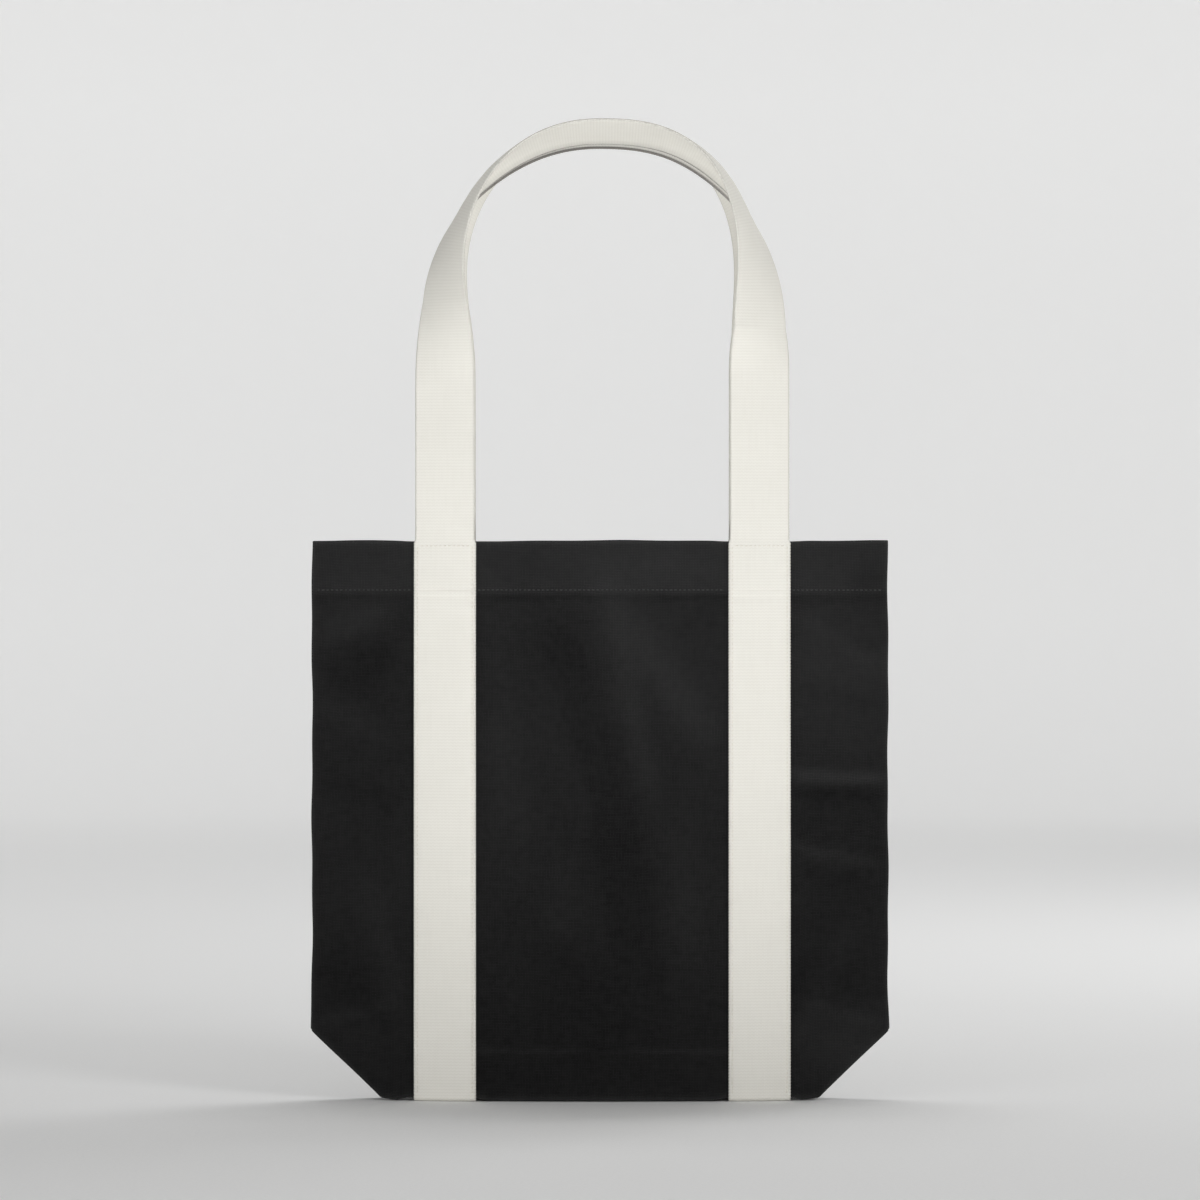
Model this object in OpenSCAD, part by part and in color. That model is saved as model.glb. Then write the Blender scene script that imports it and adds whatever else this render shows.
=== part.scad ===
// Canvas tote bag, empty and standing on its folded base, with both webbing handles up.
// +X runs across the bag, -Y is the front and +Z is up. The origin is under the middle of the base.

/* [Body] */
// Width of the bag from side seam to side seam
body_w = 380; // [320:2:480]
// Height from the bottom folds to the mouth
body_h = 366; // [280:2:460]
// Depth of the base when it is pulled out flat
gusset = 92; // [60:2:130]
// Thickness of the canvas
canvas_t = 1; // [0.6:0.1:1.4]
// Outside depth across the middle of the mouth
mouth_depth = 34; // [26:1:60]
// Outside depth across the middle of the bottom folds
base_depth = 38; // [32:1:60]
// How far each panel swells half way up, beyond a straight line from base to mouth
belly = 4; // [0:0.5:8]

/* [Hem and seams] */
// Depth of the turned hem round the mouth
hem_depth = 34; // [15:1:60]
// Width of the bound allowance inside each side seam
side_binding_w = 12; // [6:1:18]
// Height of the bound allowance along the bottom seam
bottom_binding_h = 9; // [5:1:14]
// Thickness of the binding tape
binding_t = 0.3; // [0.2:0.1:0.5]
// Width of the tape over each boxed corner seam
corner_binding_w = 8; // [5:1:12]
// Thickness of the tape over each boxed corner seam, with the allowance under it
corner_binding_t = 0.8; // [0.5:0.1:1]

/* [Webbing] */
// Width of the webbing
strap_w = 40; // [25:1:50]
// Thickness of the webbing
strap_t = 1.8; // [1.2:0.1:2.4]
// Distance between the centres of the two legs of a handle
strap_spacing = 207; // [160:1:230]
// Height of the front handle above the mouth
front_handle_rise = 276; // [230:2:360]
// Height of the back handle above the mouth
back_handle_rise = 273.5; // [230:0.5:360]
// Height of each handle's arch, where its legs leave the vertical
arch_h = 117; // [100:1:150]
// Length of straight webbing that already twists, below the arch
twist_run = 47; // [30:1:65]
// Turn of the webbing at the crown, in degrees out of the plane of the mouth
crown_turn = 112; // [95:1:125]
// How deeply the webbing is cupped at its shoulders
shoulder_cup = 4; // [0:0.5:8]
// Distance of each handle from the middle of the bag, where they lean together
handle_clearance = 0.4; // [0.3:0.1:10]

/* [Stitching] */
// Diameter of the sewing thread
thread_d = 0.5; // [0.3:0.1:0.8]
// Distance of each edge row from the edge of the webbing
row_inset = 2; // [1:0.5:4]
// Distance of the hem's row above the hem's turned edge
hem_row_inset = 2; // [1:0.5:5]
// Distance of the row that tacks each handle down from the mouth
tack_drop = 3; // [2:0.5:8]

/* [Care label] */
// Width of the folded label, along the side seam
label_w = 20; // [12:1:30]
// How far the folded label stands out of the side seam
label_l = 32; // [20:1:45]
// Thickness of the folded label
label_t = 0.4; // [0.3:0.1:0.6]
// Height of the label above the bottom folds
label_z = 210; // [120:5:260]

/* [Hidden] */

CANVAS = "#262626";
WEBBING = "#e6e3da";
TAPE = "#1c1c1c";
LABEL = "#f2f0ea";

half_w = body_w / 2;
ply_gap = 0.2;                            // between neighbouring plies of cloth
thread_lift = 0.1;                        // between a row of stitches and what it is sewn through
lift = 0.2;                               // between the canvas and what is sewn on it
fold_w = 2 * canvas_t + 2 * ply_gap;      // across the two plies of a bottom fold
edge_half = fold_w + ply_gap;             // half the thickness of the bag at its side seams
base_z = strap_t + lift;                  // the bottom folds, one webbing thickness up
top_z = base_z + body_h;
corner_x = half_w - gusset / 2;           // where the bottom folds meet the slanted corners
corner_rise = gusset / 2 - 2;             // height of the slanted corners
leg_x = strap_spacing / 2;
inner_x = leg_x - strap_w / 2;
outer_x = leg_x + strap_w / 2;
strap_end = 0.72;                         // how far up the base the webbing runs, as a share
hinge_gap = 0.3;                          // between a sewn strap and its handle
leg_y = -skin(leg_x, top_z) - lift - strap_t / 2;
leg_turn = atan((skin(inner_x, top_z) - skin(outer_x, top_z)) / strap_w);
arch_power = 2.3;                         // 2 is an ellipse, and more is squarer
arch_run = 1.42 * arch_h;                 // length of webbing in half the arch

panel_rows = 12;
panel_columns = 20;
corner_columns = 8;
base_rows = 6;
run_base_rows = 4;
arch_stations = 40;
leg_stations = 6;

function mix(a, b, share) = a + (b - a) * share;
function steps(a, b, n) = [for (i = [0 : n]) mix(a, b, i / n)];
function without_first(list) = [for (i = [1 : len(list) - 1]) list[i]];

// Swell of a panel out of the plane of the side seams, at height z.
function swell(z) =
    let (share = (z - base_z) / body_h)
    mix(base_depth / 2, mouth_depth / 2, share) - edge_half + 4 * belly * share * (1 - share);
// Distance of a panel's outer face from the plane of the side seams.
function skin(x, z) = edge_half + swell(z) * (1 - pow(x / half_w, 2));
// Height of the bottom fold, which climbs the slanted corners.
function foot_z(x) = base_z + max(0, abs(x) - corner_x) * corner_rise / (half_w - corner_x);
// Height of the bottom seam, which the half base reaches with its full width.
function seam_z(x) = base_z + sqrt(pow(gusset / 2, 2) - pow(skin(x, base_z) - edge_half, 2));

// A closed solid between two grids of points. rows run along the sheet and the points of a row across
// it.
module sheet_solid(outer, inner, flip = false) {
    rows = len(outer);
    cols = len(outer[0]);
    function a(j, i) = j * cols + i;
    function b(j, i) = rows * cols + j * cols + i;
    function quad(p, q, r, s) = flip ? [[p, r, q], [p, s, r]] : [[p, q, r], [p, r, s]];
    last_j = rows - 1;
    last_i = cols - 1;
    polyhedron(
        points = concat([for (row = outer) each row], [for (row = inner) each row]),
        faces = concat(
            [for (j = [0 : last_j - 1], i = [0 : last_i - 1])
                each quad(a(j, i), a(j + 1, i), a(j + 1, i + 1), a(j, i + 1))],
            [for (j = [0 : last_j - 1], i = [0 : last_i - 1])
                each quad(b(j, i), b(j, i + 1), b(j + 1, i + 1), b(j + 1, i))],
            [for (j = [0 : last_j - 1])
                each quad(a(j, 0), b(j, 0), b(j + 1, 0), a(j + 1, 0))],
            [for (j = [0 : last_j - 1])
                each quad(a(j, last_i), a(j + 1, last_i), b(j + 1, last_i), b(j, last_i))],
            [for (i = [0 : last_i - 1])
                each quad(a(0, i), a(0, i + 1), b(0, i + 1), b(0, i))],
            [for (i = [0 : last_i - 1])
                each quad(a(last_j, i), b(last_j, i), b(last_j, i + 1), a(last_j, i + 1))]),
        convexity = 6);
}

// A piece of even thickness that follows the front panel's outer face. lift_0 and lift_1 are the
// distances of its two sides out from that face.
module patch(x_0, x_1, z_0, z_1, lift_0, lift_1, columns, rows) {
    xs = steps(x_0, x_1, columns);
    zs = steps(z_1, z_0, rows);
    sheet_solid(
        [for (x = xs) [for (z = zs) [x, -skin(x, z) - lift_1, z]]],
        [for (x = xs) [for (z = zs) [x, -skin(x, z) - lift_0, z]]]);
}

// Points on the front half of the base, by share of the way up from the bottom fold to the bottom
// seam: on its lower side, and on its upper side inside the bag.
function on_base(x, share) =
    [x, mix(fold_w - skin(x, foot_z(x)), -ply_gap, share), mix(foot_z(x), seam_z(x), share)];
function in_base(x, share) =
    [x, mix(fold_w - skin(x, foot_z(x)), -ply_gap, share) - canvas_t,
     mix(foot_z(x) + canvas_t, seam_z(x), share)];

// One panel with its half of the base folded up inside to the bottom seam.
module panel() {
    xs = concat(steps(-half_w, -corner_x, corner_columns),
                without_first(steps(-corner_x, corner_x, panel_columns)),
                without_first(steps(corner_x, half_w, corner_columns)));
    function wall(x, inset) =
        [for (z = steps(top_z, foot_z(x) + inset, panel_rows)) [x, inset - skin(x, z), z]];
    sheet_solid(
        [for (x = xs) concat(wall(x, 0), [for (share = steps(0, 1, base_rows)) on_base(x, share)])],
        [for (x = xs) concat(wall(x, canvas_t), [for (share = steps(0, 1, base_rows)) in_base(x, share)])]);
}

// The mouth's edge turned down inside the panel.
module hem() {
    patch(-half_w, half_w, top_z - hem_depth, top_z, -2 * canvas_t - lift, -canvas_t - lift, 16, 2);
}

// Side seam allowances and the tape that binds them, inside the left edge.
module side_binding() {
    thickness = 2 * (edge_half - canvas_t - ply_gap);
    z_0 = seam_z(half_w) + 1;
    translate([-half_w, -thickness / 2, z_0])
        cube([side_binding_w, thickness, top_z - hem_depth - ply_gap - z_0]);
}

// Bottom seam allowances and their tape, standing up inside the bag.
module bottom_binding() {
    reach = ply_gap + canvas_t + binding_t;
    xs = steps(4 - corner_x, corner_x - 4, 12);
    sheet_solid(
        [for (x = xs) [[x, -reach, seam_z(x) + lift + bottom_binding_h], [x, -reach, seam_z(x) + lift]]],
        [for (x = xs) [[x, reach, seam_z(x) + lift + bottom_binding_h], [x, reach, seam_z(x) + lift]]]);
}

// Tape over the boxed corner seam, on the upper side of the front half of the base.
module corner_tape() {
    xs = steps(-corner_x - corner_binding_w / 2, -corner_x + corner_binding_w / 2, 2);
    shares = steps(0.9, 0.4, 4);
    sheet_solid(
        [for (x = xs) [for (share = shares) in_base(x, share) - [0, lift + corner_binding_t, 0]]],
        [for (x = xs) [for (share = shares) in_base(x, share) - [0, lift, 0]]]);
}

module corner_binding() {
    corner_tape();
    mirror([0, 1, 0]) corner_tape();
}

// The sewn length of webbing: down the panel, round the bottom fold and up under the base.
module strap_run() {
    xs = steps(-outer_x, -inner_x, 4);
    function under(x, out) =
        [for (share = steps(0, strap_end, run_base_rows))
            on_base(x, share) + [0, out, share == 0 ? -out : 0]];
    function run(x, out) =
        concat([for (z = steps(top_z, base_z - out, panel_rows)) [x, -skin(x, z) - out, z]], under(x, out));
    sheet_solid(
        [for (x = xs) run(x, lift + strap_t)],
        [for (x = xs) run(x, lift)]);
}

// Height of a handle's centre line at the crown, and where its arch springs from the legs.
function crown_z(rise) = top_z + rise + strap_w / 2 * cos(crown_turn) - strap_t / 2 * sin(crown_turn);
function spring_z(rise) = crown_z(rise) - arch_h;

// Turn of the webbing out of the plane of the mouth, at a distance along it from where the arch springs.
function turn(along) =
    mix(leg_turn, crown_turn, sin(90 * max(0, (twist_run + along) / (twist_run + arch_run))));

// How deeply the webbing is cupped, by angle round the arch.
function cup(angle) = shoulder_cup * sin(2 * max(0, angle));

// How far the webbing leans forward of its legs for each unit of its sideways turn. It is the least
// that keeps its back edge clear of the other handle at every angle from the spring to the crown.
lean = max([for (angle = [0 : 3 : 90])
    let (twist = turn(angle / 90 * arch_run),
         reach = strap_w / 2 * sin(twist) + (cup(angle) + strap_t / 2) * abs(cos(twist)))
        (leg_y + reach + handle_clearance) / (sin(twist) - sin(leg_turn))]);

// Five points across the webbing. out points away from the arch, in the plane of x and z. side is 1 on
// the face that is outermost on the legs and -1 on the other.
function across(x, z, out, twist, cup, side) =
    let (edge = cos(twist) * out + [0, sin(twist), 0],
         face = sin(twist) * out - [0, cos(twist), 0])
    [for (v = [-1, -0.5, 0, 0.5, 1])
        [x, leg_y - lean * (sin(twist) - sin(leg_turn)), z] + v * strap_w / 2 * edge
            + (side * strap_t / 2 - cup * v * v) * face];

// Rows of points up the left leg, from the mouth to the arch.
function leg_rows(rise, side) =
    [for (z = steps(top_z + hinge_gap, spring_z(rise), leg_stations))
        across(-leg_x, z, [-1, 0, 0], turn(z - spring_z(rise)), 0, side)];

// Rows of points round the left half of the arch, by angle from the spring to the crown.
function arch_rows(rise, side) =
    [for (angle = without_first(steps(0, 90, arch_stations)))
        let (out = [-pow(cos(angle), 2 - 2 / arch_power) / leg_x, 0,
                    pow(sin(angle), 2 - 2 / arch_power) / arch_h])
        across(-leg_x * pow(cos(angle), 2 / arch_power),
               spring_z(rise) + arch_h * pow(sin(angle), 2 / arch_power),
               out / norm(out), turn(angle / 90 * arch_run), cup(angle), side)];

// One face of the whole handle: its left half, then the same rows mirrored.
function handle_face(rise, side) =
    let (left = concat(leg_rows(rise, side), arch_rows(rise, side)))
    concat(left, [for (j = [len(left) - 2 : -1 : 0]) [for (p = left[j]) [-p[0], p[1], p[2]]]]);

// The free loop of webbing, standing with its crown turned past edge on.
module handle(rise) {
    sheet_solid(handle_face(rise, 1), handle_face(rise, -1), flip = true);
}

// Rows of hem stitches, left out where the webbing covers them.
module hem_row() {
    z = top_z - hem_depth + hem_row_inset;
    edge_margin = 2;
    for (span = [[-half_w + edge_margin, -outer_x - 1], [-inner_x + 1, inner_x - 1],
                 [outer_x + 1, half_w - edge_margin]])
        patch(span[0], span[1], z, z + thread_d, thread_lift, thread_lift + thread_d, 6, 1);
}

// Rows of stitches down both edges of both sewn straps.
module strap_rows() {
    on = lift + strap_t;
    for (side = [-1, 1], edge = [-1, 1]) {
        x = side * leg_x + edge * (strap_w / 2 - row_inset);
        patch(x - thread_d / 2, x + thread_d / 2, base_z + 1, top_z - 1,
              on + thread_lift, on + thread_lift + thread_d, 1, panel_rows);
    }
}

// Short rows across the webbing that tack each handle to the hem.
module tack_rows() {
    on = lift + strap_t;
    z = top_z - tack_drop;
    clear = row_inset + thread_d;
    for (side = [-1, 1])
        patch(side * leg_x - strap_w / 2 + clear, side * leg_x + strap_w / 2 - clear, z - thread_d, z,
              on + thread_lift, on + thread_lift + thread_d, 4, 1);
}

// Blank label folded in two, its ends caught in the left side seam.
module label() {
    translate([-half_w + side_binding_w + ply_gap, -label_t / 2, base_z + label_z])
        cube([label_l, label_t, label_w]);
}

module back() mirror([0, 1, 0]) children();
module right() mirror([1, 0, 0]) children();

color(CANVAS) panel();  // front_panel
color(CANVAS) back() panel();  // back_panel
color(CANVAS) hem();  // front_hem
color(CANVAS) back() hem();  // back_hem
color(TAPE) side_binding();  // left_side_binding
color(TAPE) right() side_binding();  // right_side_binding
color(TAPE) bottom_binding();  // bottom_seam_binding
color(TAPE) corner_binding();  // left_corner_binding
color(TAPE) right() corner_binding();  // right_corner_binding
color(WEBBING) strap_run();  // front_strap_left
color(WEBBING) right() strap_run();  // front_strap_right
color(WEBBING) back() strap_run();  // back_strap_left
color(WEBBING) back() right() strap_run();  // back_strap_right
color(WEBBING) handle(front_handle_rise);  // front_handle
color(WEBBING) back() handle(back_handle_rise);  // back_handle
color(TAPE) hem_row();  // front_hem_stitching
color(TAPE) back() hem_row();  // back_hem_stitching
color(WEBBING) strap_rows();  // front_strap_stitching
color(WEBBING) back() strap_rows();  // back_strap_stitching
color(WEBBING) tack_rows();  // front_handle_tacks
color(WEBBING) back() tack_rows();  // back_handle_tacks
color(LABEL) label();  // care_label
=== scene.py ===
"""A canvas tote bag, pressed nearly flat and standing on its folded base, with both webbing handles up.

The cloth is worked out as surfaces over two parameters. All lengths are in metres, in the frame of the CAD model:
+X across the bag, -Y the front, +Z up. Two measures recur. b is the distance of a point from the plane of the side
seams, so y is b on the back and -b on the front. Lengths along the cloth run as its threads do.
"""

import logging
import math
from dataclasses import dataclass, field, replace
from enum import Enum

import bpy
import numpy as np
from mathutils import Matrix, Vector
from numpy.typing import NDArray


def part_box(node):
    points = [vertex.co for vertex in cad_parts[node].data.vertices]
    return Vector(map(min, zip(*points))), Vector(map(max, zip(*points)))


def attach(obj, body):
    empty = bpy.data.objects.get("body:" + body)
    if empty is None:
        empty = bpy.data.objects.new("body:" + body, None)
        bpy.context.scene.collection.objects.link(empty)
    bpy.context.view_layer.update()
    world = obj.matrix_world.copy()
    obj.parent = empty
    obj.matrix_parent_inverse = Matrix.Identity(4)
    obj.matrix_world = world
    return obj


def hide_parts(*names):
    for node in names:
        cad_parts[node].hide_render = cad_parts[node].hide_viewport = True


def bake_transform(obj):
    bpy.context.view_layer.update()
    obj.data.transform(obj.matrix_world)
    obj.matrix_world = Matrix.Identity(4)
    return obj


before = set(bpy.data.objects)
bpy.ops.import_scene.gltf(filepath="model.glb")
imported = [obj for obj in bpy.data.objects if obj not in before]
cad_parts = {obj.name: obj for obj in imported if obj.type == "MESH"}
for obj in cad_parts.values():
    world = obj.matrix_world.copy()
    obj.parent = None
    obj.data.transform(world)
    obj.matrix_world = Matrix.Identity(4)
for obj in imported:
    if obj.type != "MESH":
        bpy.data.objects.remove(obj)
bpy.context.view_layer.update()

Array = NDArray[np.float64]
Colour = tuple[float, float, float]
log = logging.getLogger("tote")
MM = 0.001


class Side(Enum):
    """Which face of the bag a piece is on. The value is the sign of its y."""

    FRONT = -1.0
    BACK = 1.0

    @property
    def word(self) -> str:
        """The start of the names of this side's pieces."""
        return self.name.lower()


# ---------------------------------------------------------------- arithmetic on arrays


def smooth(t: Array) -> Array:
    """Smoothstep: 0 below 0, 1 above 1, and 3t^2 - 2t^3 between.

    Args:
        t: any array.

    Returns:
        The array of the same shape.
    """
    t = np.clip(t, 0.0, 1.0)
    return t * t * (3.0 - 2.0 * t)


def hump(distance: Array, width: float) -> Array:
    """The bell exp(-(distance / width)^2)."""
    return np.exp(-((distance / width) ** 2))


def mix(a: Array | float, b: Array | float, share: Array | float) -> Array:
    """The value that lies share of the way from a to b."""
    return a + (b - a) * share


def unit(vectors: Array) -> Array:
    """The vectors along the last axis at length 1."""
    return vectors / np.maximum(np.linalg.norm(vectors, axis=-1, keepdims=True), 1e-12)


def graded(low: float, high: float, coarse: float, fine: float, spots: list[float], reach: float) -> Array:
    """Points from low to high, close together near the spots.

    The spacing is coarse far from every spot and fine at a spot. The points are where the running total of
    1 / spacing passes the whole numbers, stretched so that the last is at high.

    Args:
        low, high: the ends.
        coarse, fine: the spacing away from the spots and at them.
        spots: the places that need detail.
        reach: how far from a spot the spacing stays fine.

    Returns:
        The points in rising order, with both ends.
    """
    at = np.linspace(low, high, 8000)
    near = np.zeros_like(at)
    for spot in spots:
        near = np.maximum(near, hump(at - spot, reach))
    total = np.concatenate([[0.0], np.cumsum(np.diff(at) / mix(coarse, fine, near)[1:])])
    return np.interp(np.linspace(0.0, total[-1], max(2, round(total[-1])) + 1), total, at)


def grid_quads(rows: int, columns: int, wrap: bool = False) -> NDArray[np.int64]:
    """The quads of a grid of rows by columns points, in rows; with wrap the last column joins the first."""
    j = np.arange(rows - 1)[:, None]
    i = np.arange(columns if wrap else columns - 1)[None, :]
    k = (i + 1) % columns
    corners = (j * columns + i, j * columns + k, (j + 1) * columns + k, (j + 1) * columns + i)
    return np.stack([np.broadcast_to(c, (rows - 1, i.shape[1])) for c in corners], -1).reshape(-1, 4)


# ---------------------------------------------------------------- meshes


@dataclass
class Surface:
    """Points, faces, cloth coordinates and wear and painted shading of one piece, before it is a Blender object.

    Attributes:
        points: n by 3 places in metres.
        faces: m by 4 or m by 3 point numbers, each turning anticlockwise seen from outside.
        cloth: n by 2 distances across and along the threads, in metres, for the weave.
        wear_and_shading: n shares from 0 to 1 of how rubbed the cloth is, with painted light and shade added in.
    """

    points: Array
    faces: NDArray[np.int64]
    cloth: Array
    wear_and_shading: Array

    @staticmethod
    def of_grid(points: Array, cloth: Array, wear_and_shading: Array | None = None, wrap: bool = False) -> "Surface":
        """A surface over a grid of rows by columns points, neither rubbed nor shaded if no wear_and_shading is given.
        """
        rows, columns = points.shape[:2]
        rubbed_and_shaded = np.zeros((rows, columns)) if wear_and_shading is None else wear_and_shading
        return Surface(points.reshape(-1, 3), grid_quads(rows, columns, wrap), cloth.reshape(-1, 2), rubbed_and_shaded.ravel())

    def turned(self) -> "Surface":
        """The same surface with its faces looking the other way."""
        return replace(self, faces=self.faces[:, ::-1])

    def outward(self) -> "Surface":
        """The same closed surface, turned if its volume, the sum of p0 . (p1 x p2) / 6, comes out negative."""
        a, b, c = (self.points[self.faces[:, k]] for k in (0, 1, 2))
        volume = (a * np.cross(b, c)).sum()
        if self.faces.shape[1] == 4:
            volume += (a * np.cross(c, self.points[self.faces[:, 3]])).sum()
        return self if volume > 0 else self.turned()

    @staticmethod
    def joined(parts: list["Surface"]) -> "Surface":
        """Several surfaces as one piece, in separate shells."""
        starts = np.cumsum([0] + [len(part.points) for part in parts[:-1]])
        return Surface(
            np.concatenate([part.points for part in parts]),
            np.concatenate([part.faces + start for part, start in zip(parts, starts)]),
            np.concatenate([part.cloth for part in parts]),
            np.concatenate([part.wear_and_shading for part in parts]),
        )

    def make(self, name: str, material: bpy.types.Material, slot: str | None = None) -> bpy.types.Object:
        """Makes the Blender object, smooth shaded, with the UV map "cloth" and the attribute "wear_and_shading" of
        wear and painted shading.

        Args:
            name: the piece's name.
            material: its finish.
            slot: the record's material slot that the finish stands for, if it is part of the bag; not used.

        Returns:
            The object, at the origin.
        """
        mesh = bpy.data.meshes.new(name)
        mesh.from_pydata(self.points.tolist(), [], self.faces.tolist())
        corner = np.zeros(len(mesh.loops), np.int32)
        mesh.loops.foreach_get("vertex_index", corner)
        mesh.uv_layers.new(name="cloth").data.foreach_set("uv", self.cloth[corner].astype(np.float32).ravel())
        mesh.attributes.new("wear_and_shading", "FLOAT", "POINT").data.foreach_set("value", self.wear_and_shading.astype(np.float32))
        mesh.polygons.foreach_set("use_smooth", np.ones(len(mesh.polygons), bool))
        mesh.materials.append(material)
        mesh.update()
        piece = bpy.data.objects.new(name, mesh)
        bpy.context.scene.collection.objects.link(piece)
        log.info("%s: %d faces", name, len(mesh.polygons))
        return piece


def thicken(piece: bpy.types.Object, thickness: float) -> None:
    """Gives a sheet its thickness, half to each side, with closed rims."""
    wall = piece.modifiers.new("thickness", "SOLIDIFY")
    wall.thickness = thickness
    wall.offset = 0.0
    wall.use_even_offset = False


def capped_tube(rings: Array, along: Array, around: Array, wear_and_shading: Array) -> Surface:
    """A closed tube from rings of points, its two ends closed by a fan to the ring's middle.

    Args:
        rings: rows by ring by 3 points.
        along, around: the cloth coordinates of each row and of each point of a ring.
        wear_and_shading: rows by ring shares of wear and painted shade.

    Returns:
        The closed surface, facing outwards.
    """
    rows, n = rings.shape[:2]
    cloth = np.stack(np.broadcast_arrays(around[None, :], along[:, None]), -1)
    body = Surface.of_grid(rings, cloth, wear_and_shading, wrap=True)
    middles = rings[[0, -1]].mean(axis=1)
    first, last = rows * n, rows * n + 1
    i = np.arange(n)
    k = (i + 1) % n
    start = np.stack([np.full(n, first), k, i, i], -1)
    end = np.stack([np.full(n, last), (rows - 1) * n + i, (rows - 1) * n + k, (rows - 1) * n + k], -1)
    fans = np.concatenate([start, end])[:, :3]
    quads = np.concatenate([body.faces[:, [0, 1, 2]], body.faces[:, [0, 2, 3]]])
    return Surface(
        np.concatenate([body.points, middles]),
        np.concatenate([quads, fans]),
        np.concatenate([body.cloth, [[0.0, along[0]], [0.0, along[-1]]]]),
        np.concatenate([body.wear_and_shading, [0.0, 0.0]]),
    ).outward()


# ---------------------------------------------------------------- finishes


class Graph:
    """A small builder of shader nodes, so that a finish reads as arithmetic."""

    def __init__(self, name: str) -> None:
        """Starts an empty material with its shader and output.

        Args:
            name: the material's name.
        """
        self.material = bpy.data.materials.new(name)
        self.material.use_nodes = True
        self.tree = self.material.node_tree
        self.tree.nodes.clear()
        self.shader = self.tree.nodes.new("ShaderNodeBsdfPrincipled")
        output = self.tree.nodes.new("ShaderNodeOutputMaterial")
        self.tree.links.new(self.shader.outputs[0], output.inputs["Surface"])

    def node(self, kind: str, links: dict[str | int, object], **settings: object) -> bpy.types.Node:
        """Adds a node.

        Args:
            kind: the node type.
            links: socket name or number to a value, or to an output socket that feeds it.
            settings: properties of the node itself.

        Returns:
            The node.
        """
        made = self.tree.nodes.new(kind)
        for key, value in settings.items():
            setattr(made, key, value)
        for key, value in links.items():
            if isinstance(value, bpy.types.NodeSocket):
                self.tree.links.new(value, made.inputs[key])
            else:
                made.inputs[key].default_value = value
        return made

    def math(self, operation: str, *values: object) -> bpy.types.NodeSocket:
        """One Math node on one to three values or sockets."""
        return self.node("ShaderNodeMath", dict(enumerate(values)), operation=operation).outputs[0]

    def threads(self, across: float, along: float) -> tuple[bpy.types.NodeSocket, bpy.types.NodeSocket]:
        """The cloth coordinates counted in threads of these two pitches."""
        uv = self.node("ShaderNodeUVMap", {}, uv_map="cloth").outputs[0]
        split = self.node("ShaderNodeSeparateXYZ", {0: uv})
        return self.math("MULTIPLY", split.outputs[0], 1 / across), self.math("MULTIPLY", split.outputs[1], 1 / along)

    def profile(self, count: bpy.types.NodeSocket, shift: float = 0.0) -> bpy.types.NodeSocket:
        """A row of round threads, |sin(pi (count + shift))|: 0 in each gap and 1 on each thread."""
        turned = self.math("MULTIPLY_ADD", count, math.pi, shift * math.pi)
        return self.math("ABSOLUTE", self.math("SINE", turned))

    def noise(self, x: object, y: object, scale: float, detail: float = 2.0) -> bpy.types.NodeSocket:
        """Noise from 0 to 1 over two counts."""
        place = self.node("ShaderNodeCombineXYZ", {0: x, 1: y})
        made = self.node("ShaderNodeTexNoise", {"Vector": place.outputs[0], "Scale": scale, "Detail": detail})
        return made.outputs[0]

    def object_noise(self, scale: float, detail: float = 3.0) -> bpy.types.NodeSocket:
        """Noise from 0 to 1 over the object's own coordinates."""
        place = self.node("ShaderNodeTexCoord", {}).outputs["Object"]
        return self.node("ShaderNodeTexNoise", {"Vector": place, "Scale": scale, "Detail": detail}).outputs[0]

    def wear_and_shading(self) -> bpy.types.NodeSocket:
        """The piece's attribute of how rubbed it is, with its painted light and shade."""
        return self.node("ShaderNodeAttribute", {}, attribute_name="wear_and_shading").outputs["Fac"]

    def ramp(self, value: bpy.types.NodeSocket, low: float, high: float, a: float, b: float) -> bpy.types.NodeSocket:
        """The value, mapped from low..high to a..b and held there."""
        links = {"Value": value, "From Min": low, "From Max": high, "To Min": a, "To Max": b}
        return self.node("ShaderNodeMapRange", links).outputs[0]

    def colour(self, share: object, a: object, b: object) -> bpy.types.NodeSocket:
        """The colour that lies share of the way from a to b."""
        made = self.node("ShaderNodeMix", {}, data_type="RGBA")
        for socket, value in ((made.inputs[0], share), (made.inputs[6], a), (made.inputs[7], b)):
            if isinstance(value, bpy.types.NodeSocket):
                self.tree.links.new(value, socket)
            else:
                socket.default_value = (*value, 1.0) if isinstance(value, tuple) else value
        return made.outputs[2]

    def finish(self, colour: object, roughness: object, heights: list[tuple[object, float, float]], gloss: float,
               sheen: float, sheen_colour: Colour) -> bpy.types.Material:
        """Feeds the shader.

        Args:
            colour: the base colour.
            roughness: a socket.
            heights: (height socket, strength, distance) of each relief, the widest first.
            gloss: the level of the shine.
            sheen, sheen_colour: the pale bloom of loose fibres at a glancing angle.

        Returns:
            The material.
        """
        normal = None
        for height, strength, distance in heights:
            links = {"Height": height, "Strength": strength, "Distance": distance}
            if normal is not None:
                links["Normal"] = normal
            normal = self.node("ShaderNodeBump", links).outputs[0]
        self.tree.links.new(colour, self.shader.inputs["Base Color"])
        self.tree.links.new(roughness, self.shader.inputs["Roughness"])
        self.tree.links.new(normal, self.shader.inputs["Normal"])
        self.shader.inputs["Specular IOR Level"].default_value = gloss
        self.shader.inputs["Sheen Weight"].default_value = sheen
        self.shader.inputs["Sheen Roughness"].default_value = 0.45
        self.shader.inputs["Sheen Tint"].default_value = (*sheen_colour, 1.0)
        return self.material


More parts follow.
